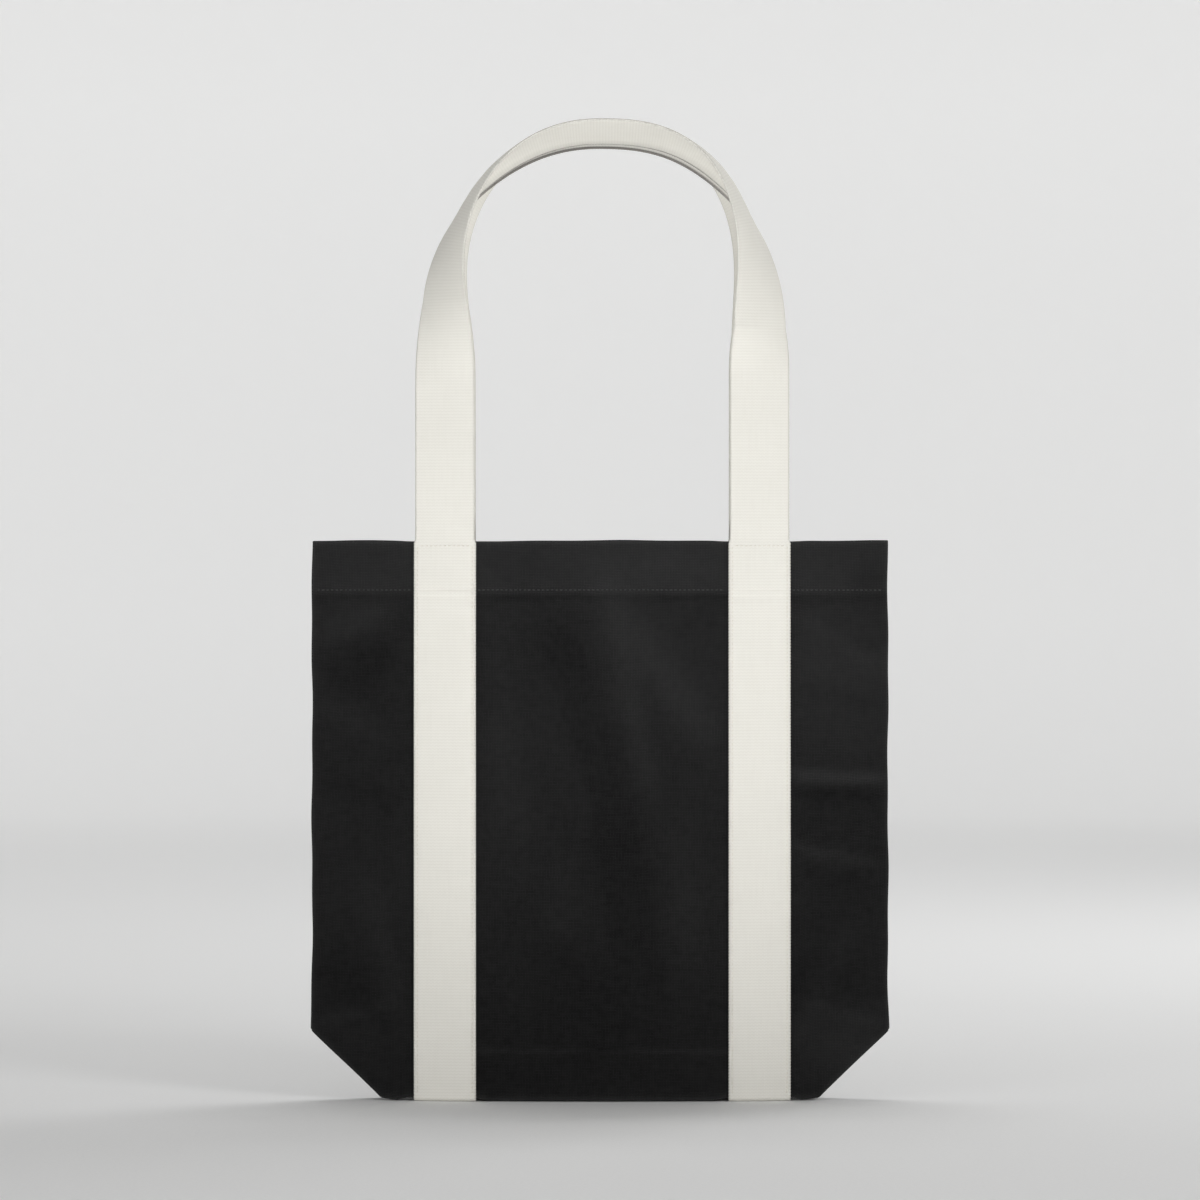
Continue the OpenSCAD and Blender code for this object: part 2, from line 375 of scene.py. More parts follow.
@dataclass(frozen=True)
class Canvas:
    """Plain-weave cotton canvas: threads over and under each other, with slubs and rubbed folds.

    Attributes:
        name: of the material.
        gap, thread, rubbed_and_shaded: the colours between the threads, of the threads, and of rubbed dye and painted
            light, which painted shade leans away from.
        pitch, relief: from thread to thread, and how far they stand out.
    """

    name: str = "charcoal_canvas"
    gap: Colour = (0.0042, 0.0042, 0.0043)
    thread: Colour = (0.0140, 0.0140, 0.0141)
    rubbed_and_shaded: Colour = (0.075, 0.075, 0.075)
    pitch: float = 1.05 * MM
    relief: float = 0.22 * MM

    def make(self) -> bpy.types.Material:
        """Builds the weave.

        In each cell of the weave one thread lies on top: the one across where the sum of the two thread counts is
        odd, else the one along. The height is that thread's round profile times 0.55 + 0.45 of its arch over the
        thread below it.

        Returns:
            The material.
        """
        g = Graph(self.name)
        u, v = g.threads(self.pitch, self.pitch)
        cell_u, cell_v = g.math("FLOOR", u), g.math("FLOOR", v)
        across, along = g.profile(u), g.profile(v)
        odd = g.math("ABSOLUTE", g.math("MODULO", g.math("ADD", cell_u, cell_v), 2.0))
        over_u = g.math("MULTIPLY", across, g.math("MULTIPLY_ADD", along, 0.45, 0.55))
        over_v = g.math("MULTIPLY", along, g.math("MULTIPLY_ADD", across, 0.45, 0.55))
        even = g.math("SUBTRACT", 1.0, odd)
        height = g.math("ADD", g.math("MULTIPLY", over_u, even), g.math("MULTIPLY", over_v, odd))
        slub_u = g.noise(cell_u, g.math("MULTIPLY", v, 0.06), 1.7)
        slub_v = g.noise(g.math("MULTIPLY", u, 0.06), cell_v, 1.3)
        slub = g.math("ADD", g.math("MULTIPLY", slub_u, even), g.math("MULTIPLY", slub_v, odd))
        fibre = g.noise(u, v, 6.0, 4.0)
        cloud = g.object_noise(9.0)
        patches = g.ramp(g.object_noise(210.0), 0.3, 0.7, 0.6, 1.4)
        patchy = g.math("MULTIPLY", g.ramp(slub, 0.3, 0.7, 0.3, 1.7), patches)
        lit = g.math("MULTIPLY", g.ramp(height, 0.1, 0.9, 0.0, 1.0), patchy)
        base = g.colour(g.math("MULTIPLY", lit, g.ramp(fibre, 0.2, 0.8, 0.65, 1.35)), self.gap, self.thread)
        # the attribute brings wear, and also painted light on crease ridges and patches, and painted shade in crease
        # valleys and under the hem's edge
        rub_and_shading = g.math("MULTIPLY", g.wear_and_shading(), g.math("MULTIPLY", g.ramp(height, 0.2, 0.9, 0.5, 1.0),
                                                  g.ramp(fibre, 0.25, 0.75, 0.5, 1.2)))
        worn_and_shaded = g.colour(g.math("ADD", rub_and_shading, g.ramp(cloud, 0.35, 0.75, 0.0, 0.06)), base, self.rubbed_and_shaded)
        rough = g.ramp(fibre, 0.2, 0.8, 0.86, 0.97)
        uneven = g.math("MULTIPLY", height, g.ramp(slub, 0.3, 0.7, 0.5, 1.5))
        return g.finish(worn_and_shaded, rough, [(cloud, 0.25, 0.6 * MM), (uneven, 0.9, self.relief), (fibre, 0.3, 0.05 * MM)],
                        0.05, 0.03, (0.75, 0.75, 0.76))


@dataclass(frozen=True)
class Webbing:
    """Heavy cotton webbing: cross ribs, with fine warp yarns that dip between them.

    Attributes:
        name: of the material.
        hollow, yarn, rubbed_and_shaded: the colours between the ribs, of the yarns, and of the painted shade at the
            crown's low edge and of the darkened selvedges.
        rib, warp, relief: from rib to rib, from yarn to yarn, and how far they stand out.
    """

    name: str = "cream_webbing"
    hollow: Colour = (0.66, 0.640, 0.585)
    yarn: Colour = (0.765, 0.750, 0.695)
    rubbed_and_shaded: Colour = (0.20, 0.19, 0.175)
    rib: float = 2.0 * MM
    warp: float = 1.15 * MM
    relief: float = 0.07 * MM

    def make(self) -> bpy.types.Material:
        """Builds the weave.

        The height is the ribs' round profile times 0.6 + 0.4 of the warp yarns' profile. Every second warp yarn
        lies a fifth of a rib further along.

        Returns:
            The material.
        """
        g = Graph(self.name)
        u, v = g.threads(self.warp, self.rib)
        odd = g.math("ABSOLUTE", g.math("MODULO", g.math("FLOOR", u), 2.0))
        ribs = g.profile(g.math("MULTIPLY_ADD", odd, 0.2, v))
        height = g.math("MULTIPLY", ribs, g.math("MULTIPLY_ADD", g.profile(u), 0.4, 0.6))
        yarn = g.noise(g.math("FLOOR", u), g.math("MULTIPLY", v, 0.05), 1.9)
        pick = g.noise(g.math("MULTIPLY", u, 0.05), g.math("FLOOR", v), 1.1)
        fibre = g.noise(g.math("MULTIPLY", u, 2.2), g.math("MULTIPLY", v, 0.9), 3.0, 5.0)
        cloud = g.object_noise(14.0)
        lit = g.math("MULTIPLY", g.ramp(height, 0.0, 0.7, 0.5, 1.0), g.ramp(yarn, 0.3, 0.7, 0.9, 1.08))
        base = g.colour(g.math("MULTIPLY", lit, g.ramp(pick, 0.3, 0.7, 0.92, 1.06)), self.hollow, self.yarn)
        # painted shade: the attribute darkens the crown's low edge as the shaded band under it, and the selvedges;
        # the cloud adds random stains
        stain_and_shade = g.math("ADD", g.wear_and_shading(), g.ramp(cloud, 0.4, 0.8, 0.0, 0.04))
        worn_and_shaded = g.colour(stain_and_shade, base, self.rubbed_and_shaded)
        rough = g.ramp(fibre, 0.2, 0.8, 0.78, 0.92)
        return g.finish(worn_and_shaded, rough, [(height, 0.75, self.relief), (fibre, 0.35, 0.06 * MM)],
                        0.2, 0.12, (1.0, 0.98, 0.94))


@dataclass(frozen=True)
class Tape:
    """Thin twill tape or satin: fine slanting ridges.

    Attributes:
        name: of the material.
        hollow, yarn: the colours between the ridges and on them.
        pitch: of the threads.
        roughness: in the middle of its range.
    """

    name: str
    hollow: Colour
    yarn: Colour
    pitch: float
    roughness: float

    def make(self) -> bpy.types.Material:
        """Builds the twill: the height is a round profile over the sum of the two thread counts."""
        g = Graph(self.name)
        u, v = g.threads(self.pitch, self.pitch)
        ridge = g.profile(g.math("ADD", u, v))
        fibre = g.noise(u, v, 3.0, 4.0)
        base = g.colour(g.math("MULTIPLY", ridge, g.ramp(fibre, 0.2, 0.8, 0.7, 1.1)), self.hollow, self.yarn)
        rough = g.ramp(fibre, 0.2, 0.8, self.roughness - 0.05, self.roughness + 0.05)
        return g.finish(base, rough, [(ridge, 0.6, 0.1 * MM), (fibre, 0.3, 0.04 * MM)], 0.15, 0.05, (0.9, 0.9, 0.9))


@dataclass(frozen=True)
class Thread:
    """Two-ply sewing thread: strands that twist round it.

    Attributes:
        name: of the material.
        hollow, strand: the colours between the strands and on them.
    """

    name: str
    hollow: Colour
    strand: Colour

    def make(self) -> bpy.types.Material:
        """Builds the twist: the height is a round profile over a count that rises along and around the thread."""
        g = Graph(self.name)
        u, v = g.threads(0.8 * MM, 0.45 * MM)
        twist = g.profile(g.math("ADD", u, v))
        fibre = g.noise(u, v, 5.0, 3.0)
        base = g.colour(g.math("MULTIPLY", twist, g.ramp(fibre, 0.2, 0.8, 0.8, 1.1)), self.hollow, self.strand)
        rough = g.ramp(fibre, 0.2, 0.8, 0.6, 0.75)
        return g.finish(base, rough, [(twist, 0.6, 0.08 * MM)], 0.25, 0.05, (1.0, 1.0, 1.0))


@dataclass(frozen=True)
class Studio:
    """The plain matt surface that the bag stands on.

    Attributes:
        name: of the material.
        near, far, glow: where its own glow starts and is strongest, and how strong it is there.
    """

    name: str = "studio_paper"
    near: float = 0.8
    far: float = 5.0
    glow: float = 0.24

    def make(self) -> bpy.types.Material:
        """Builds a pale paper with a faint tooth, which glows a little more the further it is from the bag."""
        g = Graph(self.name)
        tooth = g.object_noise(420.0)
        base = g.colour(g.ramp(tooth, 0.3, 0.7, 0.0, 1.0), (0.82, 0.82, 0.815), (0.85, 0.85, 0.845))
        place = g.node("ShaderNodeTexCoord", {}).outputs["Object"]
        away = g.node("ShaderNodeVectorMath", {0: place}, operation="LENGTH").outputs["Value"]
        g.tree.links.new(g.ramp(away, self.near, self.far, 0.0, self.glow), g.shader.inputs["Emission Strength"])
        g.shader.inputs["Emission Color"].default_value = (1.0, 1.0, 1.0, 1.0)
        rough = g.ramp(tooth, 0.3, 0.7, 0.85, 0.95)
        return g.finish(base, rough, [(tooth, 0.1, 0.1 * MM)], 0.2, 0.0, (1.0, 1.0, 1.0))


# ---------------------------------------------------------------- the bag's shape


@dataclass(frozen=True)
class Crease:
    """A soft ridge, or a valley where height is negative, pressed into one panel.

    Attributes:
        start, end: its ends, as (x, z).
        width: its half width.
        height: how far it stands out at its middle.
    """

    start: tuple[float, float]
    end: tuple[float, float]
    width: float
    height: float

    def relief(self, x: Array, z: Array) -> Array:
        """The height times a bell across the crease, times a sine hump along it that dies out past its ends."""
        ax, az = self.start
        dx, dz = self.end[0] - ax, self.end[1] - az
        length = math.hypot(dx, dz)
        along = ((x - ax) * dx + (z - az) * dz) / length**2
        away = ((x - ax) * dz - (z - az) * dx) / length
        ends = smooth((along + 0.15) / 0.4) * smooth((1.15 - along) / 0.4)
        return self.height * hump(away, self.width) * ends


@dataclass(frozen=True)
class Fade:
    """A soft patch where the dye is lighter, or darker where amount is negative.

    Attributes:
        centre: its middle, as (x, z).
        reach: its half width and half height.
        tilt: turn of its long axis, in degrees.
        amount: share of wear and painted shading added at its middle.
    """

    centre: tuple[float, float]
    reach: tuple[float, float]
    tilt: float
    amount: float

    def share(self, x: Array, z: Array) -> Array:
        """The amount times the bell exp(-r^2) of the distance r from the middle, in half sizes."""
        c, s = math.cos(math.radians(self.tilt)), math.sin(math.radians(self.tilt))
        dx, dz = x - self.centre[0], z - self.centre[1]
        wide, tall = (dx * c + dz * s) / self.reach[0], (dz * c - dx * s) / self.reach[1]
        return self.amount * np.exp(-(wide**2 + tall**2))


@dataclass(frozen=True)
class Ripple:
    """Sewing pucker: small waves along a sewn row that die out away from it.

    Attributes:
        line: the row's place, as x of an upright row or z of a level one.
        upright: whether the row is upright.
        height, pitch, reach: how tall the waves are, how long, and how far from the row they last.
        shift: where the waves start.
    """

    line: float
    upright: bool
    height: float
    pitch: float
    reach: float
    shift: float

    def relief(self, x: Array, z: Array) -> Array:
        """Two sines of unlike pitch along the row, times exp(-|distance| / reach)."""
        along, away = (z, x - self.line) if self.upright else (x, z - self.line)
        wave = np.sin(2 * np.pi * along / self.pitch + self.shift)
        wave = wave + 0.6 * np.sin(2 * np.pi * along / (1.73 * self.pitch) + 2.1 * self.shift)
        return self.height * wave * np.exp(-np.abs(away) / self.reach)


@dataclass(frozen=True)
class BagShape:
    """The outer form of the bag, shared by every piece that lies on it.

    Attributes:
        half_width, base_z, top_z: the side seams, the bottom folds and the mouth, from the frame.
        foot_fold: across the middles of the two plies at the bottom fold.
        seam_b: b of the middle of each allowance, where two panels are sewn together.
        sag: how far the bottom fold hangs down between the straps.
        The rest are the sizes that the CAD model has under the same names.
    """

    half_width: float
    base_z: float
    top_z: float
    gusset: float = 92 * MM
    canvas: float = 1.0 * MM
    mouth_depth: float = 34 * MM
    base_depth: float = 38 * MM
    belly: float = 4 * MM
    edge_half: float = 2.6 * MM
    corner_drop: float = 2 * MM
    hem_row: float = 32 * MM
    hem_edge: float = 34.5 * MM
    tuck_line: float = 31 * MM
    left_leg: float = -101.9 * MM
    right_leg: float = 104.9 * MM
    strap_width: float = 40 * MM
    sag: float = 1.4 * MM
    foot_fold: float = 1.4 * MM
    seam_b: float = 0.56 * MM

    @property
    def corner_x(self) -> float:
        """Where the level bottom fold meets the slanting corner folds."""
        return self.half_width - self.gusset / 2

    def skin(self, x: Array, z: Array) -> Array:
        """b of the panel's outer face without its relief.

        The half depth goes from base to mouth on a straight line plus a parabola of height belly. Across the bag it
        falls as 1 - (x / half_width)^2 to half the thickness of the side seams.
        """
        share = (z - self.base_z) / (self.top_z - self.base_z)
        depth = mix(self.base_depth / 2, self.mouth_depth / 2, share) - self.edge_half
        return self.edge_half + (depth + 4 * self.belly * share * (1 - share)) * (1 - (x / self.half_width) ** 2)

    def near_legs(self, x: Array, margin: float, fade: float) -> Array:
        """1 under the straps and margin beside them, falling to 0 over fade."""
        reach = self.strap_width / 2 + margin + fade
        return sum(smooth((reach - np.abs(x - leg)) / fade) for leg in (self.left_leg, self.right_leg))

    def foot_z(self, x: Array) -> Array:
        """The bottom fold: level, then climbing each corner, and sagging by sag between and beside the straps."""
        rise = (self.gusset / 2 - self.corner_drop) / (self.half_width - self.corner_x)
        level = 1 - smooth((np.abs(x) - self.corner_x + 12 * MM) / (16 * MM))
        down = self.sag * level * (1 - self.near_legs(x, 1.5 * MM, 9 * MM))
        return self.base_z - down + np.maximum(0.0, np.abs(x) - self.corner_x) * rise

    def waver(self, x: Array, z: Array) -> tuple[Array, Array]:
        """How far the cloth's outline strays in x and in z.

        The side seams stray by two slow sines along z, and flare by 0.7 mm at the corners. The mouth strays by two
        slow sines along x between the straps. Each fades away from its edge.
        """
        out = 0.28 * MM * np.sin(z / (21 * MM) + 0.9 * np.sign(x))
        out = out + 0.22 * MM * np.sin(z / (8.3 * MM) + 2 * np.sign(x))
        out = out + 0.7 * MM * hump(z - self.base_z - 44 * MM, 26 * MM)
        dx = np.sign(x) * out * smooth((np.abs(x) - self.half_width + 40 * MM) / (38 * MM))
        up = 0.30 * MM * np.sin(x / (27 * MM) + 1.0) + 0.16 * MM * np.sin(x / (9 * MM))
        dz = (up + 0.45 * MM) * smooth((z - self.top_z + 50 * MM) / (50 * MM)) * (1 - self.near_legs(x, 0.0, 14 * MM))
        return dx, dz

    def seam_z(self, x: Array) -> Array:
        """The bottom seam inside, which half the gusset's width reaches from the bottom fold."""
        return self.base_z + np.sqrt((self.gusset / 2) ** 2 - (self.skin(x, self.base_z) - self.edge_half) ** 2)


@dataclass(frozen=True)
class Relief:
    """How the cloth of one panel lies: creases, puckers, the marks of its hem and slow unevenness.

    Attributes:
        shape: the form it lies on.
        creases, fades: the panel's own.
        seed: of the slow waves and the puckers.
        swell: height of the longest slow wave.
        step: how far the single cloth lies below the doubled hem.
    """

    shape: BagShape
    creases: tuple[Crease, ...]
    fades: tuple[Fade, ...]
    seed: int
    swell: float = 0.55 * MM
    step: float = 0.45 * MM

    def ripples(self) -> list[Ripple]:
        """The puckers of the hem row and of the rows down both edges of both straps."""
        s, draw = self.shape, np.random.default_rng(self.seed)
        rows = [Ripple(s.top_z - s.hem_row, False, 0.16 * MM, 10.5 * MM, 5 * MM, draw.uniform(0, 6))]
        for leg in (s.left_leg, s.right_leg):
            for edge in (-1, 1):
                x = leg + edge * (s.strap_width / 2 - 1 * MM)
                rows.append(Ripple(x, True, 0.17 * MM, 13 * MM, 7 * MM, draw.uniform(0, 6)))
        return rows

    def fade_and_painted_light(self, x: Array, z: Array) -> Array:
        """How much lighter the cloth is painted: the fades and painted shading, and 0.05 more for each millimetre of
        a crease's height, so its ridges get painted light and its valleys painted shade.
        """
        lighter = sum(mark.relief(x, z) for mark in self.creases) * (0.05 / MM)
        return lighter + sum(patch.share(x, z) for patch in self.fades)

    def at(self, x: Array, z: Array) -> Array:
        """How far the cloth stands out of the skin.

        It is the sum of the creases, the puckers, and slow waves: 26 sines of random direction whose heights fall
        as their lengths do. A sum of tanh steps and bells marks the hem. All of it fades to nothing at the side
        seams, and to a part at the bottom folds and under the straps.

        Args:
            x, z: arrays of one shape.

        Returns:
            The relief in metres.
        """
        s, draw = self.shape, np.random.default_rng(self.seed + 1)
        slow = np.zeros(np.broadcast(x, z).shape)
        for length in np.geomspace(0.30, 0.045, 26):
            angle, start = draw.uniform(0, 2 * math.pi, 2)
            slow = slow + (length / 0.30) ** 1.1 * np.sin(
                2 * np.pi / length * (x * math.cos(angle) + z * math.sin(angle)) + start)
        total = self.swell * slow
        for mark in self.creases:
            total = total + mark.relief(x, z)
        total = total * mix(1.0, 0.45, s.near_legs(x, -3 * MM, 9 * MM))
        for row in self.ripples():
            total = total + row.relief(x, z)
        down = s.top_z - z
        total = total - self.step * 0.5 * (1 + np.tanh((down - s.hem_edge - 1 * MM) / (0.9 * MM)))
        total = total + 0.40 * MM * hump(down - s.hem_edge - 8 * MM, 5 * MM)
        total = total - 0.30 * MM * hump(down - s.hem_row, 0.9 * MM)
        tuck = smooth((80 * MM - np.abs(x)) / (14 * MM))
        total = total + 0.60 * MM * tuck * hump(z - s.base_z - s.tuck_line, 1.6 * MM)
        total = total - 0.30 * MM * tuck * hump(z - s.base_z - s.tuck_line + 3.4 * MM, 2.2 * MM)
        sides = smooth((s.half_width - np.abs(x)) / (16 * MM))
        bottom = mix(0.3, 1.0, smooth((z - s.foot_z(x)) / (30 * MM)))
        return total * sides * bottom

    def face(self, x: Array, z: Array) -> Array:
        """b of the panel's outer face, with its relief."""
        return self.shape.skin(x, z) + self.at(x, z)


def creases(*rows: tuple[float, ...]) -> tuple[Crease, ...]:
    """Creases from rows of start x and z, end x and z, width and height, in millimetres."""
    return tuple(Crease((a * MM, b * MM), (c * MM, d * MM), width * MM, height * MM)
                 for a, b, c, d, width, height in rows)


def fades(*rows: tuple[float, ...]) -> tuple[Fade, ...]:
    """Painted fades and shading from rows of middle x and z, half width and half height in millimetres, tilt and
    amount.
    """
    return tuple(Fade((x * MM, z * MM), (wide * MM, tall * MM), tilt, amount)
                 for x, z, wide, tall, tilt, amount in rows)


FRONT_CREASES = creases(
    (2, 338, 76, 232, 13, 1.8),
    (4, 336, 34, 196, 9, 1.2),
    (-30, 316, 4, 212, 12, -1.5),
    (2, 226, 30, 60, 11, -2.5),
    (-40, 112, 6, 20, 9, -1.3),
    (-72, 322, -56, 170, 13, 0.9),
    (-20, 170, -30, 100, 12, 1.0),
    (52, 190, 60, 80, 12, 1.0),
    (126, 324, 190, 284, 6, 1.6),
    (150, 306, 188, 296, 5, -1.3),
    (128, 272, 188, 262, 7, -1.2),
    (125, 213.5, 188, 211, 4.5, 2.6),
    (127, 203, 188, 200, 5.5, -1.8),
    (125, 170, 150, 160, 3.5, 1.3),
    (140, 164, 188, 156, 4, 1.1),
    (130, 150, 176, 142, 6, -1.0),
    (-188, 302, -140, 324, 8, 1.5),
    (-180, 276, -136, 296, 9, -1.5),
    (-188, 262, -130, 236, 8, 1.3),
    (-186, 214, -130, 196, 9, -1.0),
    (-152, 150, -130, 50, 8, 1.2),
    (-184, 90, -140, 52, 6, -1.2),
    (188, 50, 138, 62, 4.5, 2.0),
    (-188, 50, -136, 64, 4.5, 2.0),
    (166, 120, 128, 34, 9, 1.2),
)
BACK_CREASES = creases(
    (-30, 340, -52, 80, 17, -3.3),
    (52, 320, 40, 100, 19, 2.4),
    (10, 300, -6, 120, 14, 1.5),
    (-188, 222, -126, 208, 9, 2.2),
    (-188, 300, -130, 288, 10, -1.5),
    (126, 290, 186, 304, 9, 2.1),
    (128, 170, 186, 186, 8, 1.7),
    (188, 50, 140, 62, 4.5, 2.0),
    (-188, 50, -140, 60, 4.5, 2.0),
    (-70, 70, 78, 84, 11, 1.4),
)
# patches of painted light and shade, partly faded dye; the thin ones along the ridges near z 214 and 162 are painted
# highlights
FRONT_FADES_AND_SHADING = fades(
    (160, 275, 50, 60, 0, 0.14),
    (158, 214, 40, 4, -3, 0.17),
    (150, 162, 40, 4, -12, 0.07),
    (156, 84, 30, 20, 0, -0.05),
    (158, 36, 30, 22, 0, 0.13),
    (176, 342, 14, 10, 0, -0.10),
    (42, 284, 16, 62, 34, 0.07),
    (20, 270, 8, 60, 12, 0.05),
    (52, 352, 46, 15, 0, 0.06),
    (-48, 348, 36, 18, 0, -0.05),
    (0, 330, 200, 44, 0, 0.04),
    (-66, 250, 10, 90, 0, 0.02),
    (-12, 260, 12, 54, 18, -0.07),
    (18, 140, 12, 70, 9, -0.10),
    (-20, 66, 17, 42, 26, -0.09),
    (0, 40, 120, 60, 0, -0.05),
    (-160, 322, 34, 16, 16, 0.07),
    (-164, 286, 20, 20, 0, -0.06),
    (-170, 80, 22, 24, 30, -0.06),
    (-160, 38, 30, 12, 12, 0.04),
)
BACK_FADES_AND_SHADING = fades(
    (-150, 240, 50, 110, 0, 0.10),
    (40, 230, 20, 90, 6, 0.07),
    (160, 298, 40, 18, 10, 0.07),
    (0, 50, 80, 40, 0, -0.04),
)


# ---------------------------------------------------------------- canvas


@dataclass
class CanvasPanel:
    """One face of the bag with its turned hem, its half of the base and its seam allowances, as one cut of canvas.

    Attributes:
        side: the face of the bag.
        shape, relief: the form it follows.
        hem_fold: across the middles of the two plies at the mouth.
        allowance, standing: how wide the allowances are at the side seams and above the bottom seam.
    """

    side: Side
    shape: BagShape
    relief: Relief
    hem_fold: float = 1.15 * MM
    allowance: float = 10 * MM
    standing: float = 8 * MM

    def columns(self) -> tuple[Array, Array, Array, Array]:
        """The columns of the cut, from the left allowance round the seam fold, across, and round to the right.

        The wall has b = face - t/2. The seam fold is a half circle between that and seam_b, at the side seam.

        Returns:
            x of each column, its angle round the seam fold from 0 on the wall to pi on the allowance, its cloth
            coordinate across, and its share of the wall.
        """
        s = self.shape
        edge_b = s.edge_half - s.canvas / 2
        radius = (edge_b - s.seam_b) / 2
        wall_x = s.half_width - s.canvas / 2 - radius
        edges = [leg + k * s.strap_width / 2 for leg in (s.left_leg, s.right_leg) for k in (-1, 1)]
        wall = graded(-wall_x, wall_x, 3.2 * MM, 1.3 * MM, edges + [-s.corner_x, s.corner_x, -wall_x, wall_x], 4 * MM)
        bend = np.linspace(0, math.pi, 7)[1:]
        flat = np.linspace(0, self.allowance, 4)[1:]
        half_x = np.concatenate([wall_x + radius * np.sin(bend), wall_x - flat])
        half_angle = np.concatenate([bend, np.full(len(flat), math.pi)])
        half_cloth = np.concatenate([wall_x + radius * bend, wall_x + radius * math.pi + flat])
        x = np.concatenate([-half_x[::-1], wall, half_x])
        angle = np.concatenate([half_angle[::-1], np.zeros(len(wall)), half_angle])
        cloth = np.concatenate([-half_cloth[::-1], wall, half_cloth])
        return x, angle, cloth, (angle == 0).astype(float)

    def rows(self) -> tuple[Array, Array]:
        """The rows of the cut, from the hem's turned edge inside, over the mouth and down.

        Returns:
            The zone of each row (0 hem, 1 mouth fold, 2 wall, 3 bottom fold, 4 base, 5 standing allowance) and its
            place in the zone from 0 to 1.
        """
        s = self.shape
        span = s.top_z - s.base_z
        wall = graded(0, span, 3.3 * MM, 1.0 * MM, [0.0, s.hem_row, s.hem_edge, span - s.tuck_line, span], 4 * MM)
        zones = ((0, np.linspace(0, 1, 10)), (1, np.linspace(0, 1, 9)[1:]), (2, wall[1:] / span),
                 (3, np.linspace(0, 1, 9)[1:]), (4, np.linspace(0, 1, 15)[1:]), (5, np.linspace(0, 1, 4)[1:]))
        zone = np.concatenate([np.full(len(p), z) for z, p in zones])
        return zone, np.concatenate([p for _, p in zones])

    def surface(self) -> Surface:
        """The cut as it lies: the middle of the canvas over rows by columns.

        Hem: straight up, hem_fold inside the wall. Mouth fold: a half circle of that width. Wall: down the outer
        face. Bottom fold: a half circle of width foot_fold. Base: straight to the bottom seam at (seam_b, seam_z).
        Standing allowance: straight up from there.

        Returns:
            The surface, facing out of the bag.
        """
        s = self.shape
        x, angle, across, on_wall = self.columns()
        zone, place = self.rows()
        x, angle, on_wall = x[None, :], angle[None, :], on_wall[None, :]
        zone, place = zone[:, None], place[:, None]
        half, limit = s.canvas / 2, s.half_width - s.canvas / 2
        foot_x = np.where(on_wall > 0, np.minimum(np.abs(x), limit), s.half_width)
        hem_r = self.hem_fold / 2 * mix(0.3, 1.0, on_wall * smooth((limit - np.abs(x)) / (8 * MM)))
        hem_z = s.top_z - half - hem_r
        foot_z = s.foot_z(foot_x) + half + s.foot_fold / 2
        turn = np.clip(place, 0, 1) * math.pi
        z = np.select(
            [zone == 0, zone == 1, zone == 2, zone == 3],
            [mix(s.top_z - s.hem_edge, hem_z, place), hem_z + hem_r * np.sin(turn), mix(hem_z, foot_z, place),
             foot_z - s.foot_fold / 2 * np.sin(turn)],
            default=0.0)
        inset = np.select(
            [zone == 0, zone == 1, zone == 2, zone == 3],
            [2 * hem_r + 0 * z, hem_r * (1 + np.cos(turn)), 0 * z, s.foot_fold / 2 * (1 - np.cos(turn))], default=0.0)
        look_z = np.clip(np.where(zone >= 3, foot_z, z), s.base_z, s.top_z)
        wall_b = self.relief.face(x + 0 * z, look_z) - half
        edge_b = s.edge_half - half
        radius = (edge_b - s.seam_b) / 2
        column_b = np.where(on_wall > 0, wall_b, s.seam_b + radius * (1 + np.cos(angle)))
        b = column_b - inset * np.cos(angle)
        px = x - np.sign(x) * inset * np.sin(angle)
        # the base and its standing allowance start from the end of the bottom fold
        start_b = np.where(on_wall > 0, self.relief.face(x, foot_z) - half - s.foot_fold, s.seam_b)
        seam_z = s.seam_z(foot_x)
        slack = 0.9 * MM * np.sin(np.pi * np.clip(place, 0, 1)) * on_wall
        b = np.where(zone == 4, mix(start_b, s.seam_b, place) + slack, np.where(zone == 5, s.seam_b, b))
        z = np.where(zone == 4, mix(foot_z, seam_z, place), np.where(zone == 5, seam_z + self.standing * place, z))
        dx, dz = s.waver(px + 0 * z, z)
        points = np.stack([px + dx, self.side.value * b, z + dz], -1)
        along = np.concatenate([np.zeros((1, points.shape[1])),
                                np.cumsum(np.linalg.norm(np.diff(points, axis=0), axis=-1), axis=0)])
        cloth = np.stack([across[None, :] + 0 * z, -along], -1)
        made = Surface.of_grid(points, cloth, self.wear_and_shading(zone, place, x, z, angle))
        return made.turned() if self.side is Side.FRONT else made

    def wear_and_shading(self, zone: Array, place: Array, x: Array, z: Array, angle: Array) -> Array:
        """How rubbed the canvas is, with painted light and shade: its fades and painted shading, more over the hem,
        and bells round the folds and the hem row, the one just under the hem's edge a painted shadow.
        """
        s = self.shape
        wall = (zone == 2) * np.ones_like(z)
        rub_and_shading = 0.42 * (zone == 1) + 0.40 * (zone == 3) + 0.10 * (zone == 0)
        rub_and_shading = rub_and_shading + wall * (0.30 * hump(z - s.top_z, 2.0 * MM) + 0.25 * hump(z - s.foot_z(x), 3 * MM))
        # painted light on crease ridges and painted shade in their valleys, with the painted patches
        rub_and_shading = rub_and_shading + wall * self.relief.fade_and_painted_light(x, z)
        rub_and_shading = rub_and_shading + wall * 0.15 * (1 + np.tanh((z - s.top_z + s.hem_edge) / (1.2 * MM))) / 2
        # painted shadow: the cloth just under the hem's edge is darker, as if shaded by the hem's step
        rub_and_shading = rub_and_shading - wall * 0.05 * hump(z - s.top_z + s.hem_edge + 2.5 * MM, 2.0 * MM)
        rub_and_shading = rub_and_shading + wall * 0.10 * hump(z - s.base_z - s.tuck_line, 2.2 * MM) * (np.abs(x) < s.corner_x - 50 * MM)
